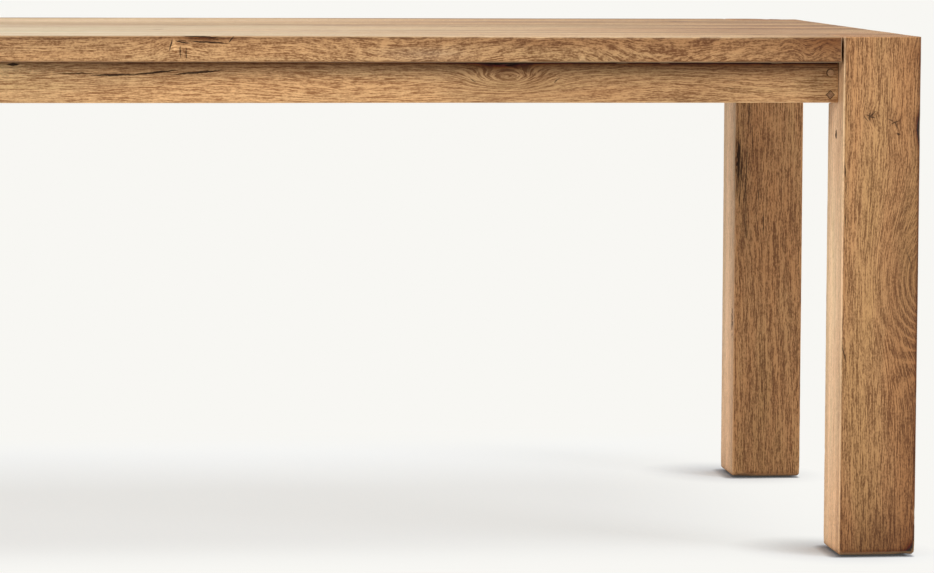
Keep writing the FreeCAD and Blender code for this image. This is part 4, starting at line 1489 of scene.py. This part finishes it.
@dataclass(frozen=True)
class Studio:
    """Pale floor, soft lamps and the camera; metres and degrees, and pixels where a name says so."""

    eye: Triple = (-0.0105, -6.824, 0.948)
    yaw: float = 6.498
    pitch: float = -4.916
    roll: float = 0.262
    focal_pixels: float = 4424.0
    width_pixels: float = 934.0
    sensor: float = 36.0
    daylight: float = 0.44
    open_floor: float = 0.95
    floor_reach: float = 150.0
    timber: Timber = Timber()
    lamps: tuple[Lamp, ...] = (
        Lamp("lamp_overhead", (0.3, 0.1, 3.6), (0.3, 0.1, 0.4), (3.4, 2.4), 80.0),
        Lamp("lamp_right", (4.8, -3.0, 2.1), (1.0, 0.0, 0.2), (1.8, 1.4), 130.0),
        Lamp("lamp_front", (-2.6, -4.8, 3.2), (0.5, -0.3, 0.4), (2.6, 2.2), 150.0, on_floor=False),
        Lamp("lamp_left", (-6.0, -0.4, 0.85), (1.0, 0.0, 0.35), (2.6, 1.5), 265.0, on_floor=False),
    )

    def lens(self) -> None:
        """Set the camera."""
        yaw, pitch, roll = (math.radians(a) for a in (self.yaw, self.pitch, self.roll))
        ahead = Vector((math.sin(yaw) * math.cos(pitch), math.cos(yaw) * math.cos(pitch), math.sin(pitch)))
        right = Vector((math.cos(yaw), -math.sin(yaw), 0.0))
        up = right.cross(ahead)
        side = math.cos(roll) * right + math.sin(roll) * up
        rise = -math.sin(roll) * right + math.cos(roll) * up
        turn = Matrix((side, rise, -ahead)).transposed().to_4x4()
        camera = bpy.data.cameras.new("studio_camera")
        camera.sensor_fit = "HORIZONTAL"
        camera.sensor_width = self.sensor
        camera.lens = self.focal_pixels / self.width_pixels * self.sensor
        camera.clip_end = 2000.0
        holder = bpy.data.objects.new("studio_camera", camera)
        holder.matrix_world = Matrix.Translation(self.eye) @ turn
        bpy.context.scene.collection.objects.link(holder)
        bpy.context.scene.camera = holder

    def seen(self, graph: Graph) -> Sock:
        """Rays that look at the backdrop directly or in a gloss."""
        rays = graph.add("ShaderNodeLightPath", {}, {}).socket.node
        kinds = [Sock(graph, rays.outputs[f"Is {kind} Ray"]) for kind in ("Camera", "Glossy", "Transmission")]
        return kinds[0].top(kinds[1]).top(kinds[2])

    def sky(self) -> None:
        """Even daylight, with the backdrop's colour where it is looked at."""
        world = bpy.data.worlds.new("studio_daylight")
        bpy.context.scene.world = world
        world.use_nodes = True
        g = Graph(world.node_tree)
        light = g.add("ShaderNodeBackground", {}, {"Color": (1.0, 0.995, 0.985), "Strength": self.daylight})
        backdrop = g.add("ShaderNodeBackground", {}, {"Color": linear(*BACKDROP), "Strength": 1.0})
        g.add("ShaderNodeOutputWorld", {}, {"Surface": g.blend(self.seen(g), light, backdrop)})

    def shades(self, graph: Graph) -> tuple[Sock, Sock, Sock]:
        """Where the floor lies outside the table, and the painted shadow round a foot and right under one.

        Args:
            graph: The floor's graph.

        Returns:
            The three masks.
        """
        x, y, _ = graph.split(graph.place())
        outer = (x.absolute() - 0.95).step(0.0, 0.45).top(((y - 0.25).absolute() - 0.45).step(0.0, 0.40))
        foot_x = (self.timber.length - self.timber.leg) / 2 * MM
        foot_y = (self.timber.width - self.timber.leg) / 2 * MM
        x, y = x - x.sign() * foot_x, y - y.sign() * foot_y
        # Painted shadow: a soft oval round each foot, drawn out to the back left, and a tight patch that hugs
        # the foot.
        along, aside = (y - x - 0.060) / 0.250, (x + y + 0.028) / 0.205
        near = (1.0 - (along * along + aside * aside) ** 0.5).top(0.0) ** 1.2
        wide = ((-0.050 - x) / 0.026).top((x - 0.050) / 0.010).top(0.0)
        deep = ((-0.052 - y) / 0.012).top((y - 0.050) / 0.030).top(0.0)
        contact_shadow = (wide * wide + deep * deep).step(0.0, 1.0, 1.0, 0.0)
        return outer, near, contact_shadow

    def paving(self) -> bpy.types.Material:
        """The floor's finish: the backdrop's glow in the open, matt where the table shades it, and a darker
        matt painted as shadow round and under each foot.

        Returns:
            The material.
        """
        material, g = new_material("studio_floor")
        outer, near, contact_shadow = self.shades(g)
        share = (0.72 + 0.28 * outer) * (1.0 - near) * (1.0 - contact_shadow)
        # The second and third colours are painted shadow round and under a foot.
        floor_and_shadow_tones = (0.875, 0.930, 1.0), (0.72, 0.80, 0.91), (0.51, 0.54, 0.59)
        open_matt, near_shadow_matt, foot_shadow_matt = (g.add("ShaderNodeBsdfDiffuse", {}, {"Color": c}) for c in floor_and_shadow_tones)
        matt = g.blend(contact_shadow, g.blend(near, open_matt, near_shadow_matt), foot_shadow_matt)
        lift, glow = (g.add("ShaderNodeEmission", {}, {"Color": linear(*BACKDROP), "Strength": strength})
                      for strength in (1.0 - self.open_floor, 1.0))
        matt = g.add("ShaderNodeAddShader", {}, {0: matt, 1: lift})
        shown = g.blend(self.seen(g) * share, matt, glow)
        clear = g.add("ShaderNodeBsdfTransparent", {}, {})
        below = g.add("ShaderNodeNewGeometry", {}, {}, "Backfacing")
        camera = g.add("ShaderNodeLightPath", {}, {}, "Is Camera Ray")
        g.add("ShaderNodeOutputMaterial", {}, {"Surface": g.blend(below * camera, shown, clear)})
        return material

    def floor(self) -> bpy.types.Collection:
        """Lay a pale floor.

        Returns:
            A collection that keeps a lamp's light off it.
        """
        mesh = bmesh.new()
        bmesh.ops.create_grid(mesh, x_segments=4, y_segments=4, size=self.floor_reach)
        data = bpy.data.meshes.new("studio_floor")
        mesh.to_mesh(data)
        mesh.free()
        data.materials.append(self.paving())
        floor = bpy.data.objects.new("studio_floor", data)
        bpy.context.scene.collection.objects.link(floor)
        unlit = bpy.data.collections.new("lit_from_above_and_right")
        unlit.objects.link(floor)
        unlit.collection_objects[0].light_linking.link_state = "EXCLUDE"
        return unlit

    def build(self) -> None:
        """Set up the studio."""
        bpy.context.scene.view_settings.view_transform = "Standard"
        self.lens()
        self.sky()
        unlit = self.floor()
        for lamp in self.lamps:
            lamp.hang(unlit)
        log.info("studio ready")


def main() -> None:
    """Build the table and its studio."""
    logging.basicConfig(level=logging.INFO, format="%(name)s: %(message)s")
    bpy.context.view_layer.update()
    Studio().build()
    Underframe().dress()
    Top().build()
    Legs().build()
    Aprons().build()


if __name__ == "__main__":
    main()
